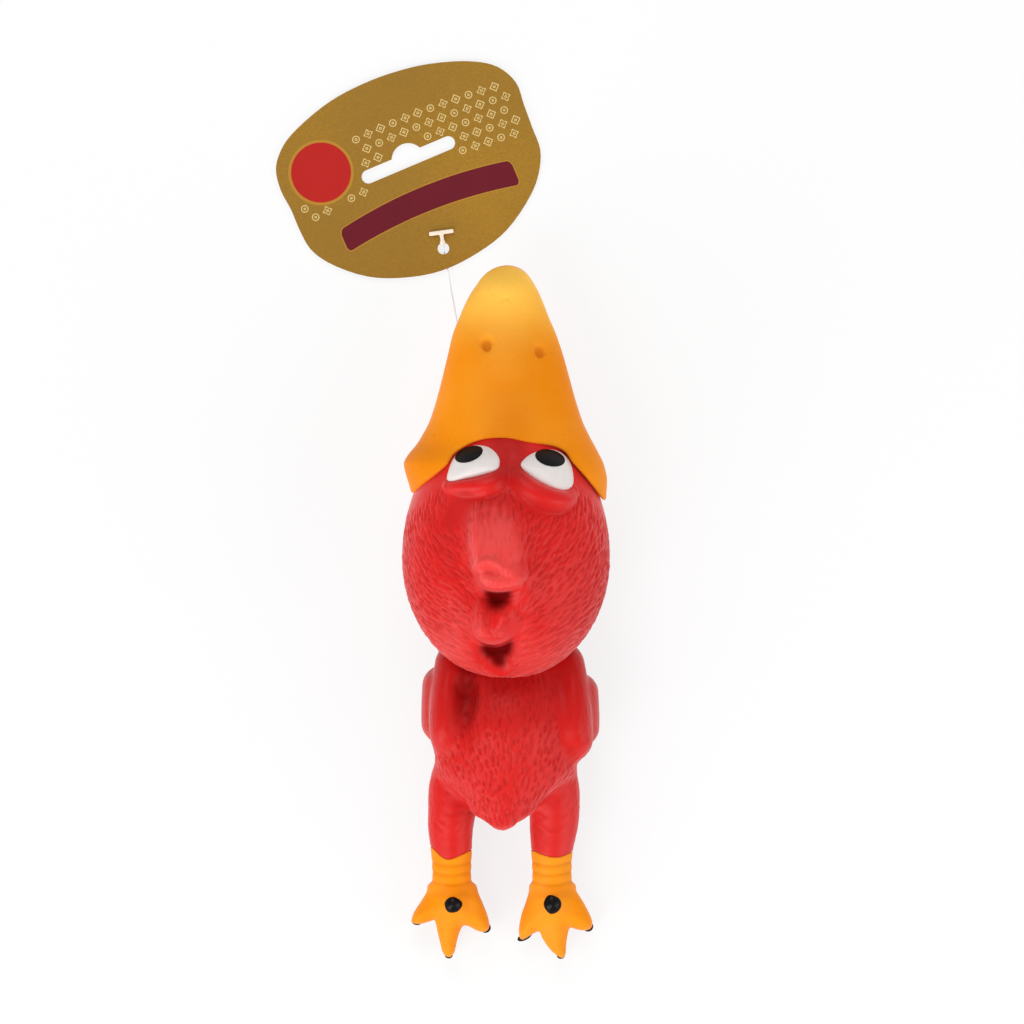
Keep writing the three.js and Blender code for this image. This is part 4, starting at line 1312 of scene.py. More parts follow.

        # Painted shade: darker in the strokes, in the hollows under the tongues' tips, in the creases and on
        # the forehead under the brim
        sunk = np.maximum(smooth_step(first, 2.0, 4.8) * smooth_step(proud, 3.6, 1.0),
                          smooth_step(second, 2.3, 5.0) * smooth_step(proud, -0.3, -3.0))
        forehead = smooth_step(y, *self.forehead_rows) * smooth_step(8 - np.abs(x - 1), 0, 5) * on_top
        low = self.stroke_dark * groove * calm + self.hollow_dark * sunk + self.crease_dark * creased
        low = np.maximum(low, self.forehead_dark * forehead)
        # Painted sheen: a paler tone on the ridge, most on its left side and less below the lower lobe, and
        # on the skin that faces the tail
        ridge = smooth_step(proud, 1.4, 6.8) * (1 - 0.75 * smooth_step(x, 1, 9))
        ridge *= 1 - 0.45 * smooth_step(pixel(0, self.lobe_row)[1] - y, 0, 3)
        rear = smooth_step(-facing[:, 1], 0.4, 0.85)
        pale_and_sheen = np.maximum(self.ridge_sheen * ridge, self.rear_sheen * rear) * whole
        return mesh_object("head_skin", points, quads, {"low": low, "pale_and_sheen": pale_and_sheen})


@dataclass
class Bill:
    """The long bill: an upper and a lower half that part at the mouth, open where the head is."""

    upper_step: float = 0.42
    lower_step: float = 0.55
    seat: float = 0.8
    mouth_gap: float = 0.12
    mouth_y: float = 36.0
    mouth_z: float = 30.0
    mouth_fall: float = 7.4 / 75.75
    low: Place = (-36, 28, -2)
    high: Place = (36, 114, 58)
    nostrils: Table = ((-6.4, 86.4, 12), (11.3, 84.4, -22))
    nostril_halves: Place = (2.1, 2.9, 2.2)
    nostril_lift: float = 0.85
    nostril_soft: float = 1.7
    brim_soft: float = 1.5
    seat_soft: float = 0.5
    mouth_soft: float = 0.7
    nail: Pair = (506, 300)
    nail_bend: float = 0.55
    nail_depth: float = 0.34
    lip_rise: float = 0.5
    # The tip's paler paint, and the shade painted into the nostrils and dips and in patches: the middle, the
    # right side and the left base
    tip_pale: float = 0.85
    dip_dark: float = 0.4
    shade_patches: Place = (0.34, 0.16, 0.24)
    top_from: float = 24.0

    # Columns: place along Y, half width, rise, drop, centre across, lift
    shape: Table = (
        (28, 31.2, 20, 27, 0.8, 0), (38.1, 31.4, 22, 26.8, 0.9, 0), (40.7, 31.8, 22.3, 26.6, 0.7, 0),
        (43.3, 32.2, 22.4, 26.2, 0.3, 0), (45.8, 32.3, 22.0, 24.8, -0.3, 0),
        (48.4, 32.0, 21.1, 22.3, -0.8, 0), (51, 30.6, 19.9, 20, -0.7, 0), (53.5, 28.9, 18.8, 18.4, -0.3, 0),
        (56.1, 27.3, 18.0, 17, -0.15, 0), (61.3, 24.7, 16.8, 14.6, 0, 0), (69, 22.2, 15.1, 12.5, 0, -0.6),
        (81.9, 18.8, 12.0, 10.1, -0.15, -2.1), (89.6, 16.6, 9.7, 9, -0.5, -3.2),
        (94.7, 14.5, 8.7, 8.4, -0.6, -4), (99.9, 12.4, 8.7, 7.5, -0.5, -4.8),
        (105, 10.0, 9.0, 6.6, -0.15, -5.8), (108, 9.4, 8.8, 6.1, 0, -6.5), (111.75, 9.2, 8.0, 5.4, 0.4, -7.4),
    )

    def __post_init__(self) -> None:
        """Strings the sections up."""
        self.cone = Loft(rear=self.shape[0][0], front=self.shape[-1][0], rear_round=3, front_round=9,
                         half_width=1, rise=1, drop=1, x=0, z=29, shares=self.shape)

    def mouth(self, points: np.ndarray) -> np.ndarray:
        """Height of each point over the sloping line of the mouth."""
        return points[:, 2] - self.mouth_z + self.mouth_fall * (points[:, 1] - self.mouth_y)

    def shell(self) -> Form:
        """The whole bill in front of its brim's edge, hollowed to seat on the head."""
        def past_brim(points: np.ndarray) -> np.ndarray:
            """How far each point lies in front of the brim's edge, across that edge."""
            x, y, _ = points.T
            run = brim_y(x + 0.5) - brim_y(x - 0.5)
            return (y - brim_y(x)) / np.sqrt(1 + run * run)

        cone: Form = self.cone
        for x, y, turn in self.nostrils:
            middle = (x, y, float(self.cone.top(x, y)) + self.nostril_lift)
            cone = cone.without(Pod(middle, self.nostril_halves, turn), self.nostril_soft)
        cone = cone.without(Side(past_brim), self.brim_soft)
        return on_floor(cone.without(Grown(GLOBE, -self.seat), self.seat_soft))

    def lips(self, x: np.ndarray, y: np.ndarray) -> np.ndarray:
        """Fine relief of the top: a raised lip behind each nostril and the arched nail mark."""
        made = np.zeros(len(x))
        for at_x, at_y, turn in self.nostrils:
            u, v = turned(x - at_x, y - at_y, -turn)
            ring = np.hypot(u / 2.0, v / 2.6)
            made += self.lip_rise * bell(ring - 1.1, 0.26) * smooth_step(-v, -0.2, 1.8)
        nail_x, nail_y = pixel(*self.nail)
        arch = y - nail_y - 0.6 + self.nail_bend * (x - nail_x) ** 2
        return made - self.nail_depth * bell(arch, 0.36) * smooth_step(1.9 - np.abs(x - nail_x), 0, 0.5)

    def under_cone(self, points: np.ndarray) -> np.ndarray:
        """How deep each point lies under the cone's skin."""
        return -self.cone.distance(points.astype(np.float32))

    def build(self) -> list[bpy.types.Object]:
        """Nets both halves and gives the upper one its fine relief, its paler tip and its painted shade."""
        shell = self.shell()
        upper = shell.without(Side(lambda p: self.mouth(p) - self.mouth_gap), self.mouth_soft)
        lower = shell.without(Side(lambda p: -self.mouth(p) - self.mouth_gap), self.mouth_soft)
        points, quads = netted(upper, self.low, self.high, self.upper_step)
        x, y, z = points.T
        made = self.lips(x, y) * smooth_step(self.under_cone(points), 1.6, 0.5) * (z > self.top_from)
        points = points + made[:, None] * outward(upper, points)
        # Painted shade: in the nostrils and dips under the cone's skin, and in patches in the middle near the
        # brim, on the right side and at the left base
        dip = smooth_step(self.under_cone(points), 0.35, 1.3) * smooth_step(y, 70, 75)
        # The tip's paint is paler
        pale_and_sheen = self.tip_pale * smooth_step(y, 80, 110) * smooth_step(z, 14, 26)
        middle, right, left = self.shade_patches
        paint = middle * bell(x, 8) * bell(y - 60, 11)
        paint += right * smooth_step(x, -2, 9) * smooth_step(y, 98, 80) * smooth_step(y, 40, 52)
        paint += left * smooth_step(x, -14, -27) * smooth_step(y, 66, 50)
        low = np.maximum(self.dip_dark * dip, paint * smooth_step(z, self.top_from, self.top_from + 10))
        return [mesh_object("upper_bill_skin", points, quads, {"low": low, "pale_and_sheen": pale_and_sheen}),
                mesh_object("lower_bill_skin", *netted(lower, self.low, self.high, self.lower_step))]


def even_loft(rear: float, front: float, round_end: float, halves: Pair,
              x: float, z: float, shares: Table) -> Loft:
    """A loft with alike ends and the same rise and drop, its shares as for a Loft."""
    return Loft(rear, front, round_end, round_end, halves[0], halves[1], halves[1], x, z, shares)


LEFT_LEG = even_loft(-93, -46, 6, (9.4, 8.6), -17.5, 12.6, (
    (0, 0.66, 0.62, 0.62, 0, -0.3), (0.17, 0.67, 0.7, 0.72, 0, -0.1), (0.33, 0.7, 0.78, 0.8, -0.01, 0),
    (0.49, 0.77, 0.86, 0.88, -0.04, 0.06), (0.62, 0.84, 0.95, 0.96, 0.03, 0.1),
    (0.79, 0.96, 1, 1, 0.18, 0.16), (1, 1, 1, 1, 0.48, 0.22)))
RIGHT_LEG = even_loft(-93, -46, 6, (9.4, 8.6), 15.2, 12.6, (
    (0, 0.67, 0.62, 0.62, -0.04, -0.3), (0.17, 0.68, 0.7, 0.72, -0.04, -0.1),
    (0.33, 0.71, 0.78, 0.8, -0.04, 0), (0.49, 0.82, 0.86, 0.88, 0.02, 0.06),
    (0.62, 0.87, 0.95, 0.96, 0.04, 0.1), (0.79, 0.95, 1, 1, -0.06, 0.16), (1, 1, 1, 1, -0.34, 0.22)))

# Where the red paint ends on the left leg and on the right one, through pixels of the photograph
PAINT_EDGES = {side: smooth_curve([pixel(*point) for point in edge], 64) for side, edge in (
    (-1, ((424, 843), (431, 847), (441, 857), (449, 860), (458, 857), (472, 850), (480, 845))),
    (1, ((523, 848), (533, 851), (545, 856), (555, 858), (564, 856.5), (573, 852), (583, 847))),
)}


def paint_edge(x: np.ndarray, side: int) -> np.ndarray:
    """How far back the red paint reaches at a place across, on the left leg or the right one."""
    return np.interp(x, *PAINT_EDGES[side].T)


@dataclass(frozen=True)
class Plug(Form):
    """Room for the squeaker in the belly: a round column from the floor up."""

    radius: float
    high: float
    y: float = -41.0

    def distance(self, points: np.ndarray) -> np.ndarray:
        """The greater of the distances to the column's side and to its top."""
        side = np.hypot(points[:, 0], points[:, 1] - self.y) - self.radius
        return np.maximum(side, points[:, 2] - self.high)


@dataclass
class Body:
    """The back, wings, tail and upper legs: one soft skin with creases between its forms."""

    step: float = 0.43
    nick_depth: float = 0.42
    seat: float = 0.8
    low: Place = (-34, -82, -2)
    high: Place = (34, 2, 46)
    sheet_radius: float = 21.0
    sheet_z: float = 20.5
    least_radius: float = 6.0
    plugs: tuple[Plug, ...] = (Plug(6.9, 2.2), Plug(4.9, 12))
    edge_soft: float = 0.3
    seat_soft: float = 0.4
    leg_soft: float = 4.4
    arm_softs: Pair = (3.6, 5.2)
    blade_soft: float = 1.0
    # How much shade is painted into the strokes and the grooves beside the arms, and as the head's shadow
    # towards the neck
    stroke_dark: float = 0.34
    groove_dark: float = 0.34
    neck_shadow: float = 0.26
    tail_lean: float = 0.18
    nicks: Nicks = Nicks(cell=2.1, half_length=1.7, width=0.43, bank=0.5)

    # Columns of the grooves beside the arms: a pixel's column and row, height and half width
    grooves: tuple[Fold, ...] = (
        Fold(((469, 655, -3.0, 4.2), (468, 685, -3.8, 4.2), (466, 708, -3.2, 4.0), (464, 730, -2.0, 3.4),
              (461, 750, -0.2, 2.6))),
        Fold(((556, 655, -1.4, 3.4), (562, 685, -1.2, 3.2), (566, 710, -0.6, 2.8), (568, 730, 0, 2.4))),
    )

    def __post_init__(self) -> None:
        """Shapes the forms that the skin joins."""
        self.torso = Loft(rear=-70.2, front=4, rear_round=5, front_round=12, half_width=22.8,
                          rise=21, drop=21, x=0, z=self.sheet_z, shares=(
            (0, 0.2, 0.3, 0.36, -0.05, 0.4), (0.04, 0.27, 0.34, 0.42, -0.05, 0.38),
            (0.075, 0.42, 0.4, 0.5, -0.05, 0.35), (0.133, 0.54, 0.53, 0.66, -0.03, 0.27),
            (0.19, 0.74, 0.67, 0.84, -0.01, 0.15), (0.25, 0.94, 0.79, 0.96, 0, 0.05),
            (0.32, 1, 0.88, 1, 0, 0), (0.45, 0.97, 0.97, 1, 0, 0),
            (0.57, 0.93, 0.87, 1, 0, 0), (0.66, 0.9, 0.68, 0.97, 0, 0), (0.76, 0.84, 0.52, 0.92, 0, 0),
            (0.87, 0.7, 0.45, 0.8, 0, 0), (1, 0.5, 0.4, 0.65, 0, 0)))
        even = ((0, 0.8, 0.9, 1, 0, 0), (0.3, 1, 1, 1, 0, 0), (1, 0.9, 1, 1, 0, 0))

        def arm(rear: float, x: float, z: float, splay: float) -> Loft:
            """A round arm whose rear end lies splay half widths further out."""
            return even_loft(rear, -10, 5.5, (5.9, 8.5), x, z, (
                (0, 0.74, 0.66, 1, 0.1 + splay, -0.2), (0.25, 0.98, 0.92, 1, 0.75 * splay, 0),
                (0.6, 1, 1, 1, 0.4 * splay, -0.26), (1, 0.75, 0.8, 1, 0, -0.85)))

        self.arms = [arm(-46.2, -17.4, 28.2, -0.34), arm(-46.6, 19.6, 26.8, 0.56)]
        self.blades = [even_loft(-42.6, -17.2, 6, (6.5, 11.5), -20.8, 16.5, even),
                       even_loft(-44, -19.6, 6, (6.5, 11.5), 23.6, 16.5, even)]

    def form(self) -> Form:
        """The skin's form: legs under the tail, arms on the back and blades beside them."""
        legs = Joined(LEFT_LEG, RIGHT_LEG, 0)
        skin: Form = Joined(self.torso, legs, self.leg_soft)
        for arm, blade, soft in zip(self.arms, self.blades, self.arm_softs):
            skin = skin.with_part(arm, soft).with_part(blade, self.blade_soft)
        skin = skin.without(Grown(GLOBE, -self.seat), self.seat_soft)
        for plug in self.plugs:
            skin = skin.without(plug, self.edge_soft)

        def past_paint(points: np.ndarray) -> np.ndarray:
            """How far each point lies in front of its own leg's paint edge."""
            x, y, _ = points.T
            return y - np.where(x < 0, paint_edge(x, -1), paint_edge(x, 1))

        return on_floor(skin.without(Side(past_paint), self.edge_soft))

    def heading(self, s: np.ndarray, t: np.ndarray) -> np.ndarray:
        """The plumage's angle: nearly straight back, drawn in towards the tail."""
        return -np.sign(s) * self.tail_lean * smooth_step(np.abs(s), 3, 18) * smooth_step(-t, 15, 60)

    def build(self) -> bpy.types.Object:
        """Nets the form, carves the plumage and stores the shade painted at each vertex."""
        form = self.form()
        points, quads = netted(form, self.low, self.high, self.step)
        facing = outward(form, points)
        x, y, z = points.T
        single = points.astype(np.float32)
        stretch = np.maximum(np.hypot(x, z - self.sheet_z), self.least_radius) / self.sheet_radius
        round_place = self.sheet_radius * np.arctan2(x, z - self.sheet_z)
        groove, bank = self.nicks.depth(round_place, y, stretch, self.heading)
        own = smooth_step(self.torso.distance(single), 1.2, 0.2) * smooth_step(y, -72, -66)
        calm = (0.3 + 0.7 * own) * (0.5 + 0.5 * smooth_step(y, -22, -50)) * smooth_step(z, 0.3, 3)
        calm *= smooth_step(y, -77, -71)
        band = fold_height(self.grooves, x, y) * smooth_step(z, 22, 29)
        sunk = band * smooth_step(GLOBE.distance(single), 0, 7)
        points = points + (sunk + self.nick_depth * calm * (bank - groove))[:, None] * facing
        # Painted shade: in the strokes, the head's shadow towards the neck, and in the grooves beside the
        # arms
        low = self.stroke_dark * groove * calm + self.neck_shadow * smooth_step(y, -58, -22)
        low = low + self.groove_dark * smooth_step(-band, 0.8, 3.2)
        return mesh_object("body_skin", points, quads, {"low": low})


@dataclass
class Foot:
    """One foot: a ringed ankle, a webbed palm with three toes, and a raised rear toe with its claw."""

    side: int
    leg: Loft
    outline: Table
    toes: Table
    claws: Table
    rear_claw: tuple[float, ...]
    step: float = 0.4
    middle_z: float = 7.0
    half_depth: float = 5.0
    edge_round: float = 4.2
    margin: float = 3.0
    top: float = 24.0
    heel: float = -72.0
    paint_gap: float = 0.05
    edge_soft: float = 0.25
    web_soft: float = 3.0
    rear_toe: Place = (4.6, 4.9, 6.1)
    rear_toe_z: float = 9.5
    rear_toe_soft: float = 3.4
    rings: tuple[float, ...] = (-80.6, -83.7, -86.9)
    ring_depth: float = 0.2
    toe_rise: float = 0.75
    fold_depth: float = 0.13
    fold_pitch: float = 1.35
    claw_rise: float = 1.15
    around: int = 72
    claw_around: int = 32

    def __post_init__(self) -> None:
        """Lays the outline out in plan and names the foot's side."""
        self.plan = Outline(plan_line(self.outline))
        self.name = "left" if self.side < 0 else "right"

    def web(self, points: np.ndarray) -> np.ndarray:
        """The distance to the palm and toes: a slab with the outline and a round edge.

        With E the share of the way from the edge's round to the outline and w the share of the
        half depth, the skin is where E^2 + w^2 = 1.
        """
        x, y, z = points.T
        flat = self.plan.distance(x, y)
        end = np.maximum(self.edge_round + flat, 0) / self.edge_round
        reach = smooth_step(y, -92, -110)
        depth = self.half_depth * (1 - 0.25 * reach)
        w = (z - self.middle_z + 1.2 * reach) / depth
        return ellipse_distance((end, self.edge_round), (w, depth))

    def form(self) -> Form:
        """Ankle, web and rear toe in one skin, from the paint edge to the toes."""
        x, y = pixel(*self.rear_claw[:2])
        toe = Pod((x, y + 0.4, self.rear_toe_z), self.rear_toe)
        skin = self.leg.with_part(Side(self.web), self.web_soft).with_part(toe, self.rear_toe_soft)
        edge = Side(lambda p: paint_edge(p[:, 0], self.side) - p[:, 1] - self.paint_gap)
        return on_floor(skin.without(edge, self.edge_soft))

    def relief(self, points: np.ndarray) -> np.ndarray:
        """Three creases round the ankle, a ridge along each toe and fine folds on the middle one."""
        x, y, z = points.T
        middle = self.leg.section(y)[3]
        arched = y + 1.3 * (1 - np.clip((x - middle) / 6.5, -1, 1) ** 2)
        made = -self.ring_depth * sum(bell(arched - ring, 0.85) for ring in self.rings)
        made = made * smooth_step(y, -91, -88.5)
        for number, (ax, ay, bx, by) in enumerate(self.toes):
            a, b = np.array(pixel(ax, ay)), np.array(pixel(bx, by))
            length = np.linalg.norm(b - a)
            way = (b - a) / length
            along = (x - a[0]) * way[0] + (y - a[1]) * way[1]
            across = (x - a[0]) * way[1] - (y - a[1]) * way[0]
            on_toe = smooth_step(along, 0, 5) * smooth_step(length - along, -2, 2) * smooth_step(z, 5, 8)
            made += self.toe_rise * bell(across, 2.2) * on_toe
            if number == 1:
                folds = 0.5 + 0.5 * np.cos(2 * np.pi * along / self.fold_pitch)
                made -= self.fold_depth * folds**4 * bell(across, 2.4) * on_toe
        return made

    def build(self) -> list[bpy.types.Object]:
        """Nets the foot and makes its four claws."""
        form = self.form()
        line = np.array([pixel(*point) for point in self.outline])
        low, high = line.min(0) - self.margin, line.max(0) + self.margin
        points, quads = netted(form, (*low, -2), (high[0], self.heel, self.top), self.step)
        made = self.relief(points)
        points = points + made[:, None] * outward(form, points)
        claw_x, claw_y = pixel(*self.rear_claw[:2])
        off_claw = np.hypot(points[:, 0] - claw_x, points[:, 1] - claw_y)
        # Painted shade: in the ankle's creases and the middle toe's folds, and on the palm in front of the
        # rear claw
        foot_shade = 0.3 * smooth_step(-made, 0.05, 0.22) * (points[:, 1] > -91)
        ahead = smooth_step(points[:, 1], claw_y + 1, claw_y + 3.5)
        foot_shade += 0.35 * smooth_step(off_claw, 9, 4.5) * ahead
        return [mesh_object(f"{self.name}_foot_skin", points, quads, {"low": foot_shade}),
                self.rear_claw_piece(), *(self.claw_piece(i) for i in range(len(self.claws)))]

    def rear_claw_piece(self) -> bpy.types.Object:
        """The glossy black claw of the rear toe: an uneven oval dome pressed into its top."""
        x, y, wide, long, turn = self.rear_claw
        x, y = pixel(x, y)
        form = self.form()
        share = np.concatenate([np.sin(np.linspace(0.03, 1, 18) * np.pi / 2), [1.0, 0.6]])[:, None]
        angle = bearings(self.around)[None, :]
        uneven = share * (1 + 0.03 * np.sin(3 * angle + x) + 0.02 * np.sin(5 * angle + y))
        off_x, off_y = turned(wide * uneven * np.cos(angle), long * uneven * np.sin(angle), turn)
        px, py = x + off_x, y + off_y
        ground = np.full(px.shape, self.top)
        for _ in range(14):
            at = np.stack([px.ravel(), py.ravel(), ground.ravel()], 1).astype(np.float32)
            ground -= 0.8 * form.distance(at).reshape(px.shape)
        dome = self.claw_rise * np.clip(1 - share**2, 0, 1) ** 0.5 + 0.05
        dome[-2:] = -1.2
        return capped_mesh(f"{self.name}_rear_claw_dome", np.stack([px, py, ground + dome], -1))

    def claw_piece(self, number: int) -> bpy.types.Object:
        """One black claw under a toe's tip, a small pod whose edge shows past the toe."""
        x, y, z, long, wide, turn = self.claws[number]
        across = np.linspace(0.04, 0.96, 16)[:, None] * np.pi
        angle = bearings(self.claw_around)[None, :]
        ball = np.stack([np.sin(across) * np.cos(angle) * long, np.sin(across) * np.sin(angle) * wide,
                         np.cos(across) * 1.5 + 0 * angle], -1)
        ball = ball @ turn_matrix(turn).T + (*pixel(x, y), z)
        return capped_mesh(f"{self.name}_toe_claw_{number + 1}", ball)


LEFT_FOOT = Foot(
    -1, LEFT_LEG,
    [(430, 884), (426, 894), (420.5, 903), (415.5, 911), (411.8, 919), (411.6, 924.5), (420, 924.8),
     (429, 922.6), (434.5, 922), (437.3, 934), (440, 945), (443, 955), (448.5, 959), (453.5, 955),
     (456, 945), (459, 934.5), (463, 927.5), (469, 928), (477, 932), (484, 933.5), (489, 929.5),
     (487.5, 918), (484, 908), (478.5, 895), (473.5, 884), (452, 880)],
    [(452, 905, 416, 921), (452, 908, 448.5, 955), (452, 905, 485, 928)],
    [(416.5, 923.6, 4.2, 1.7, 1.1, -3), (448.5, 957.2, 3.6, 1.3, 1.1, 0), (485.6, 929.8, 4.2, 1.7, 1.6, 25)],
    (453.1, 906.2, 2.98, 2.6, 0),
)
RIGHT_FOOT = Foot(
    1, RIGHT_LEG,
    [(532, 884), (528.5, 895), (525, 906), (521.5, 916), (519.5, 928), (519.6, 939), (523.5, 941),
     (530.5, 936.5), (539, 933.2), (542.5, 940), (547, 947), (551.5, 952.5), (557, 957), (562, 959.8),
     (565.5, 956.5), (566, 948), (567.5, 938), (570.3, 929.5), (577, 931), (585, 932), (591, 930),
     (592.5, 924), (589, 914), (583.5, 903.5), (577, 893), (573.5, 884), (552, 880)],
    [(551, 905, 522.5, 936), (552, 908, 561, 955), (552, 905, 588, 926)],
    [(524.8, 938.4, 4.2, 2.6, 1.2, 27), (561, 957.6, 3.6, 1.3, 1.1, 0), (588.5, 928.6, 4.2, 1.7, 1.6, 28)],
    (552.7, 906, 2.9, 3.2, 20),
)


@dataclass
class Filling:
    """The lumpy wadding in the head and torso."""

    step: float = 1.3
    inset: float = 7.5
    lumps: float = 0.9
    low: Place = (-33, -70, -1)
    high: Place = (33, 62, 60)
    room: Plug = Plug(9.4, 12)

    def build(self) -> bpy.types.Object:
        """Nets the filling, with soft lumps from three crossed waves of uneven length."""
        inner = Grown(GLOBE, -self.inset).with_part(Grown(Body().torso, -self.inset), 3)
        form = inner.without(self.room, 0.5)
        points, quads = netted(form, self.low, self.high, self.step, 2)
        x, y, z = points.T
        lump = np.sin(0.61 * x + 1.3 * np.sin(0.23 * y)) * np.sin(0.53 * y + 0.9)
        lump = lump * np.sin(0.57 * z + 0.21 * x) - np.abs(np.sin(0.37 * x + 0.29 * y)) * 0.5
        points = points + (self.lumps * (lump - 0.6))[:, None] * outward(form, points)
        return mesh_object("wadding", points, quads)


# The tag

THREAD_ROUTE = np.array([
    [-15.1, 90, 21.2], [-15.35, 91.4, 19.7], [-15.67, 93.1, 17.6], [-16.07, 95.25, 14.7],
    [-16.5, 97.6, 11.3], [-16.92, 99.85, 7.9], [-17.32, 102, 4.8], [-17.69, 104, 2.35],
    [-18.02, 105.8, 0.95], [-18.37, 107.7, 0.4],
    [-18.77, 109.85, 0.3], [-19.3, 112.7, 0.3], [-19.76, 115.15, 0.32], [-19.98, 116.3, 0.74],
    [-20.17, 117.35, 1.5], [-20.35, 118.3, 2.1],
])
THREAD_DIAMETER = 0.5


@dataclass
class Fastener:
    """The clear thread from the bill to the card, with the flat T that lies on the card."""

    tilt: float = 8.0
    width: float = 8.0
    arm: float = 1.35
    stem: float = 3.4
    stem_half: float = 0.62
    bottom: float = 1.65
    thickness: float = 1.0
    step: float = 0.13

    def thread(self) -> bpy.types.Object:
        """The thread: a round curve through its route's points."""
        rows = np.column_stack([np.arange(len(THREAD_ROUTE)), THREAD_ROUTE])
        line = smooth_curve(rows, 90)[:, 1:] * MM
        data = bpy.data.curves.new("thread", "CURVE")
        data.dimensions = "3D"
        spline = data.splines.new("POLY")
        spline.points.add(len(line) - 1)
        spline.points.foreach_set("co", np.column_stack([line, np.ones(len(line))]).ravel())
        data.bevel_depth = THREAD_DIAMETER * MM / 2
        data.bevel_resolution = 4
        data.use_fill_caps = True
        return in_scene("thread", data)

    def paddle(self) -> bpy.types.Object:
        """The moulded T: a round-edged bar, a stem that narrows, and a knuckle at the thread."""
        end = THREAD_ROUTE[-1]
        axes = turn_matrix(self.tilt)
        half = self.thickness / 2

        def along(y: float) -> np.ndarray:
            """A place on the stem's middle line."""
            return np.array([end[0], end[1] + 0.3, self.bottom + half]) + axes @ np.array([0, y, 0])

        bar = Brick(along(self.stem + self.arm / 2), (self.width / 2, self.arm / 2, half), 0.4, self.tilt)
        stem = Brick(along(self.stem / 2), (self.stem_half, self.stem / 2, half * 0.85), 0.35, self.tilt)
        knuckle = Pod(along(0.75), (0.95, 0.75, half * 0.95), self.tilt)
        form = bar.with_part(stem, 0.6).with_part(knuckle, 0.4)
        low, high = along(self.stem) - (4.6, 4.6, 0.9), along(self.stem) + (4.6, 2.2, 0.9)
        return mesh_object("fastener_tee", *netted(form, low, high, self.step, 2))


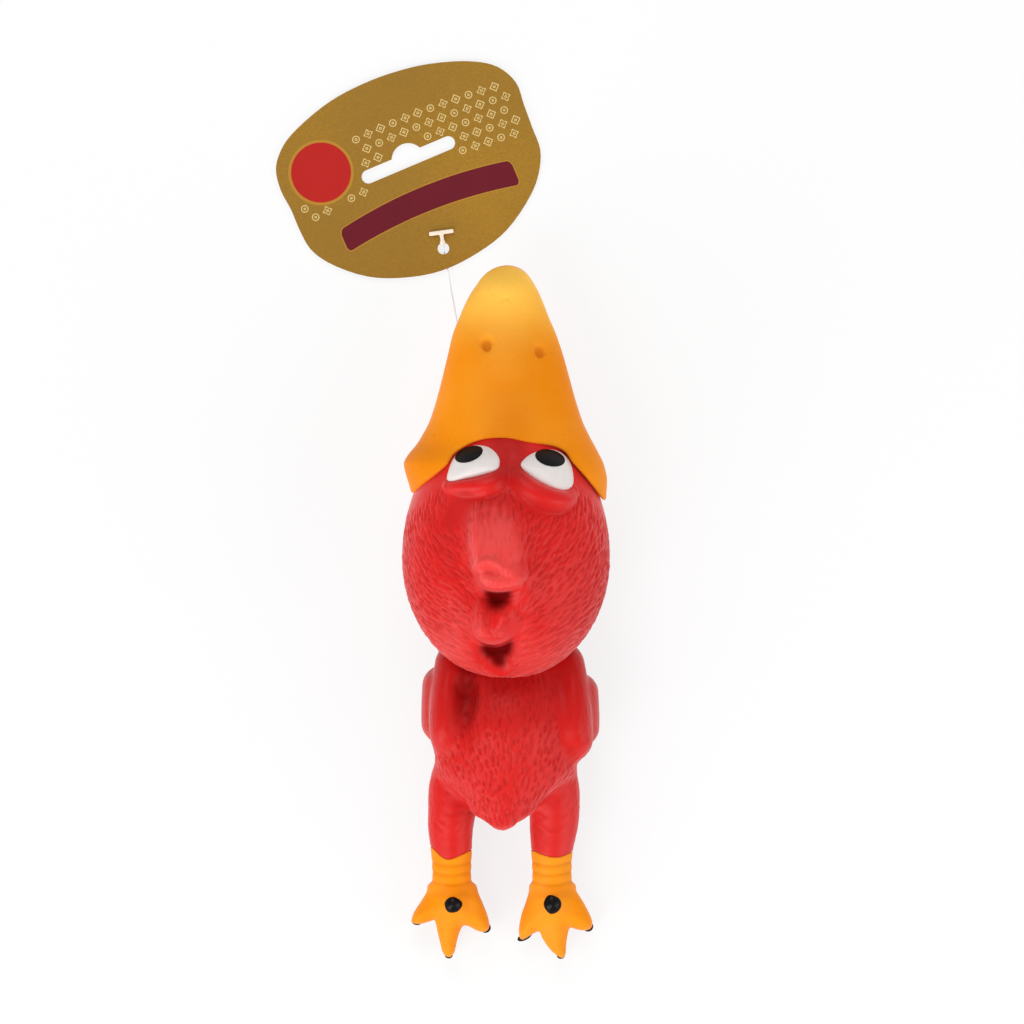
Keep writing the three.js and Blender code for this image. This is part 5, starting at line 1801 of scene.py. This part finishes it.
@dataclass
class Card:
    """The gold card: a cut outline with a hang slot and a round hole, and what is printed on it."""

    tilt: float = 22.9
    half_length: float = 41.8
    half_width: float = 32.8
    bottom: float = 0.85
    thickness: float = 0.5
    hole: Pair = (-0.7, -26.4)
    hole_place: Pair = (-20.231, 117.45)
    slot_rise: float = 4.4
    slot_length: float = 32.4
    slot_width: float = 4.4
    hump_radius: float = 5.4
    badge: Pair = (-27.6, 11.6)
    badge_radius: float = 10.6
    badge_rim: float = 0.9
    band_ends: Pair = (-29.3, 30.3)
    band_heights: Pair = (-13.4, -5.35)
    band_arch: float = 0.0033
    band_corner: float = 1.6
    band_rim: float = 0.35
    ink: float = 0.03
    ink_bevel: float = 0.004
    figure_rows: int = 5
    figure_columns: int = 10
    figure_pitch: Pair = (4.35, 4.1)
    figure_shift: float = 2.17
    figure_top: float = 17.3
    figure_arch: float = 0.0016
    clearance: float = 1.9
    edge_clearance: float = 2.3
    outline: Table = (
        (0.98, -0.05), (0.99, 0.2), (1, 0.42), (0.92, 0.63), (0.765, 0.775), (0.44, 0.925), (0.16, 0.985),
        (-0.1, 0.998), (-0.38, 0.965), (-0.685, 0.85), (-0.845, 0.745), (-0.965, 0.575), (-1, 0.35),
        (-0.985, 0.13), (-0.985, -0.09), (-0.965, -0.3), (-0.88, -0.49), (-0.64, -0.77), (-0.37, -0.925),
        (-0.09, -1), (0.22, -0.975), (0.49, -0.88), (0.77, -0.65), (0.89, -0.485), (0.97, -0.28),
    )

    def __post_init__(self) -> None:
        """Draws the outline, to keep the print clear of it."""
        self.edge = closed_curve(np.array(self.outline) * (self.half_length, self.half_width), 12)

    def placed(self, flat: np.ndarray, z: float | np.ndarray) -> np.ndarray:
        """Points of the card's own plane in the toy's frame, at a height."""
        axes = turn_matrix(self.tilt)[:2, :2]
        plan = (flat - np.array(self.hole)) @ axes.T + np.array(self.hole_place)
        return np.column_stack([plan, np.broadcast_to(z, len(plan))])

    def cut_plate(self, name: str, line: np.ndarray, low: float, high: float) -> bpy.types.Object:
        """A flat plate filled in a closed line.

        Args:
            name: The piece's name.
            line: The line in the card's plane.
            low: The plate's underside.
            high: Its top.

        Returns:
            The plate, as a mesh in its place.
        """
        data = bpy.data.curves.new(name + "_line", "CURVE")
        data.dimensions, data.fill_mode = "2D", "BOTH"
        spline = data.splines.new("POLY")
        spline.points.add(len(line) - 1)
        rows = np.column_stack([line * MM, np.zeros(len(line)), np.ones(len(line))])
        spline.points.foreach_set("co", rows.ravel())
        spline.use_cyclic_u = True
        bevel = self.ink_bevel
        data.extrude = ((high - low) / 2 - bevel) * MM
        data.bevel_depth, data.bevel_resolution, data.offset = bevel * MM, 2, -bevel * MM
        flat = in_scene(name + "_line", data)
        shape = flat.evaluated_get(bpy.context.evaluated_depsgraph_get()).to_mesh()
        places = np.zeros(len(shape.vertices) * 3)
        shape.vertices.foreach_get("co", places)
        faces = [list(p.vertices) for p in shape.polygons]
        bpy.data.objects.remove(flat)
        places = places.reshape(-1, 3) / MM
        points = self.placed(places[:, :2], places[:, 2] + (low + high) / 2)
        return welded(mesh_object(name, points, faces, smooth=False))

    def band_line(self, grow: float) -> np.ndarray:
        """The band's outline, arched and with round corners, made larger by grow."""
        x = np.linspace(self.band_ends[0] - grow, self.band_ends[1] + grow, 120)
        bottom = self.band_heights[0] - self.band_arch * (x + 3) ** 2 - grow
        top = self.band_heights[1] - self.band_arch * (x + 1) ** 2 + grow
        corner = self.band_corner + grow
        ends = np.minimum(x - x[0], x[-1] - x)
        inset = corner - np.sqrt(np.maximum(corner**2 - np.maximum(corner - ends, 0) ** 2, 0))
        upper = np.stack([x, top - inset], 1)
        lower = np.stack([x, bottom + inset], 1)[::-1]
        return np.concatenate([lower, upper])[::-1]

    def prints(self) -> list[tuple[bpy.types.Object, Plain]]:
        """What is printed on the card: a plain band, a plain roundel and small drawn figures."""
        top = self.bottom + self.thickness
        turn = bearings(96)
        disc = np.stack([np.cos(turn), np.sin(turn)], 1)
        made = []
        for name, line, height, finish in (
            ("tag_band_rim", self.band_line(self.band_rim), 1, PRINT_RIM),
            ("tag_band", self.band_line(0), 2, PRINT_MAROON),
            ("tag_roundel_rim", disc * self.badge_radius + self.badge, 1, PRINT_RIM),
            ("tag_roundel", disc * (self.badge_radius - self.badge_rim) + self.badge, 2, PRINT_RED),
        ):
            plate = self.cut_plate(name, line, top - self.ink, top + height * self.ink)
            made.append((plate, finish))
        return [*made, (self.figures(top), PRINT_PALE)]

    def figures(self, top: float) -> bpy.types.Object:
        """Rings, lozenges and four-pointed stars, drawn in thin lines in rows on an arc.

        Each figure is two closed strips of four-sided section, one round the other, each between
        two scaled copies of the figure's line.
        """
        columns = np.arange(-self.figure_columns, self.figure_columns + 1)
        row, column = (g.ravel() for g in np.meshgrid(np.arange(self.figure_rows), columns, indexing="ij"))
        x = self.figure_pitch[0] * column + self.figure_shift * (row % 2)
        y = self.figure_top - self.figure_pitch[1] * row - self.figure_arch * x * x
        places = np.stack([x, y], 1)
        kinds = (row + 2 * column) % 3
        clear = self.clear_of_cuts(places)
        turn = bearings(16)
        circle = np.stack([np.cos(turn), np.sin(turn)], 1)
        lozenge = circle / np.abs(circle).sum(1)[:, None]
        star = circle * (0.78 + 0.22 * np.cos(4 * turn))[:, None]
        lines = (circle * 1.25, lozenge * 1.7, star * 1.65)
        points, faces = [], []
        strip = wrapped_grid(4, len(turn), ring=True)[:, ::-1]
        for place, kind in zip(places[clear], kinds[clear]):
            for outer, inner in ((1.0, 0.74), (0.34, 0.12)):
                section = ((outer, -1), (outer, 1), (inner, 1), (inner, -1))
                faces.append(strip + 4 * len(turn) * len(faces))
                points.append(np.concatenate([self.placed(lines[kind] * scale + place, top + side * self.ink)
                                              for scale, side in section]))
        return mesh_object("tag_figures", np.concatenate(points), np.concatenate(faces), smooth=False)

    def clear_of_cuts(self, places: np.ndarray) -> np.ndarray:
        """Which places keep off the card's edge, its slot, the band and the roundel."""
        def apart(line: np.ndarray) -> np.ndarray:
            """The least distance of each place to a line's points."""
            return np.hypot(*(places[:, None, :] - line[None, :, :]).transpose(2, 0, 1)).min(1)

        across, up = places.T
        past_end = np.maximum(np.abs(across) - self.slot_length / 2 + self.slot_width / 2, 0)
        free = np.min([
            np.hypot(past_end, up - self.slot_rise) - self.slot_width / 2,
            np.hypot(across, up - self.slot_rise) - self.hump_radius,
            np.hypot(across - self.badge[0], up - self.badge[1]) - self.badge_radius,
            apart(self.band_line(0)),
        ], 0)
        on_card = np.minimum(apart(self.edge), self.half_length - np.abs(across)) > self.edge_clearance
        return (free > self.clearance) & on_card


def welded(piece: bpy.types.Object) -> bpy.types.Object:
    """A piece with its doubled points merged and its faces turned outwards."""
    shape = bmesh.new()
    shape.from_mesh(piece.data)
    bmesh.ops.remove_doubles(shape, verts=shape.verts, dist=1e-6)
    bmesh.ops.recalc_face_normals(shape, faces=shape.faces)
    shape.to_mesh(piece.data)
    shape.free()
    return piece


@dataclass
class Studio:
    """A pale floor, wide soft lamps and a camera straight above."""

    camera_height: float = 6.0
    aim: Pair = (0.00193, 0.0323)
    level: float = 0.03
    floor_half: float = 3.0
    floor_grey: Colour = (0.86, 0.86, 0.86)
    floor_glow: float = 0.8
    ambient: float = 0.26
    lamp_aim: Place = (0, 0.02, 0.02)

    # Name, place, size and power of each lamp
    lamps: tuple[tuple[str, Place, float, float], ...] = (
        ("key", (-0.75, -0.95, 1.5), 1.0, 14.5), ("window", (-1.15, -1.1, 0.55), 0.9, 14.5),
        ("fill", (1.25, -0.5, 0.75), 1.2, 13), ("back", (-0.2, 1.3, 1.2), 1.0, 13),
    )

    def camera(self) -> None:
        """The photograph's view: straight down, with the bill at the top."""
        data = bpy.data.cameras.new("camera")
        data.sensor_width = 36.0
        frame_width = PHOTO_PIXELS * MM_PER_PIXEL * MM
        data.lens = data.sensor_width * (self.camera_height - self.level) / frame_width
        data.clip_end = 100.0
        made = in_scene("camera", data)
        made.location = (*self.aim, self.camera_height)
        bpy.context.scene.camera = made
        bpy.context.scene.view_settings.view_transform = "Standard"

    def light(self) -> None:
        """The lamps: square and soft, and each turned to the toy."""
        for name, place, size, power in self.lamps:
            data = bpy.data.lights.new(name, "AREA")
            data.size, data.energy = size, power
            made = in_scene(name, data)
            made.location = place
            way = Vector(self.lamp_aim) - Vector(place)
            made.rotation_euler = way.to_track_quat("-Z", "Y").to_euler()

    def white_backdrop(self) -> None:
        """The world: white behind the toy and in its gloss, and a lower even light elsewhere."""
        world = bpy.data.worlds.new("studio")
        world.use_nodes = True
        bpy.context.scene.world = world
        g = Graph(world.node_tree)
        strength = g.math("ADD", g.math("MULTIPLY", g.seen(), 1 - self.ambient), self.ambient)
        g.fill(world.node_tree.nodes["Background"], {"Color": (1, 1, 1, 1), "Strength": strength})

    def floor(self) -> None:
        """The floor: white to the camera, with part of the toy's shadow kept."""
        h = self.floor_half / MM
        made = mesh_object("floor", np.array([(-h, -h, 0), (h, -h, 0), (h, h, 0), (-h, h, 0)]), [range(4)])
        paint, g, shader = new_material("floor_white")
        paint.node_tree.nodes.remove(shader)
        matt = g.add("BsdfDiffuse", {"Color": self.floor_grey})
        bright = g.add("Emission", {"Color": (1.0, 1.0, 1.0), "Strength": 1.0})
        share = g.math("MULTIPLY", g.seen(), self.floor_glow)
        both = g.add("MixShader", {0: share, 1: matt.outputs[0], 2: bright.outputs[0]})
        g.fill(paint.node_tree.nodes["Material Output"], {"Surface": both.outputs[0]})
        made.data.materials.append(paint)
        made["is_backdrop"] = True

    def build(self) -> None:
        """Sets up the whole studio but the camera."""
        self.light()
        self.white_backdrop()
        self.floor()


def main() -> None:
    """Builds and dresses every piece, the camera and the cord first."""
    logging.basicConfig(level=logging.INFO, format="%(message)s")
    studio = Studio()
    studio.camera()
    wardrobe = Wardrobe()
    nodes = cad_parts

    def place(piece: bpy.types.Object, finish: Latex | Plain, body: str,
              *stands_for: str) -> bpy.types.Object:
        """Dresses a piece, sets it on its body and hides the CAD nodes that it stands for."""
        wardrobe.dress(piece, finish)
        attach(piece, body)
        if stands_for:
            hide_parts(*stands_for)
        log.info("%s on %s", piece.name, body)
        return piece

    fastener = Fastener()
    thread = place(fastener.thread(), THREAD_PLASTIC, "fastener", "fastener_thread")
    tee = place(fastener.paddle(), CLEAR_PLASTIC, "fastener", "fastener_paddle")
    card = Card()
    board = wardrobe.dress(nodes["tag_card"], CARD_GOLD)
    printed = [place(piece, finish, "card") for piece, finish in card.prints()]

    place(Head().build(), RED_LATEX, "toy", "head")
    upper, lower = Bill().build()
    place(upper, ORANGE_LATEX, "toy", "upper_bill")
    place(lower, ORANGE_LATEX, "toy", "lower_bill")
    for eye in (LEFT_EYE, RIGHT_EYE):
        place(eye.dome(), EYE_WHITE, "toy", f"{eye.side}_eye")
        place(eye.pupil(), PUPIL_BLACK, "toy", f"{eye.side}_pupil")
    place(Body().build(), RED_LATEX, "toy", "torso", "left_wing", "right_wing", "left_leg", "right_leg")
    for foot in (LEFT_FOOT, RIGHT_FOOT):
        skin, rear, *claws = foot.build()
        place(skin, ORANGE_LATEX, "toy", f"{foot.name}_foot")
        place(rear, CLAW_BLACK, "toy", f"{foot.name}_rear_claw")
        for number, claw in enumerate(claws, 1):
            place(claw, CLAW_BLACK, "toy", f"{foot.name}_claw_{number}")
    place(Filling().build(), WADDING_WHITE, "toy", "fibre_filling")
    for node in ("squeaker_body", "squeaker_cap", "squeaker_reed"):
        wardrobe.dress(nodes[node], SQUEAKER_WHITE)
    wardrobe.dress(nodes["fastener_bar"], CLEAR_PLASTIC)
    studio.build()
    boxes = {"cad": cad_box, "visual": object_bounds()}
    {name: [list(corner) for corner in box] for name, box in boxes.items()}


if __name__ == "__main__":
    main()
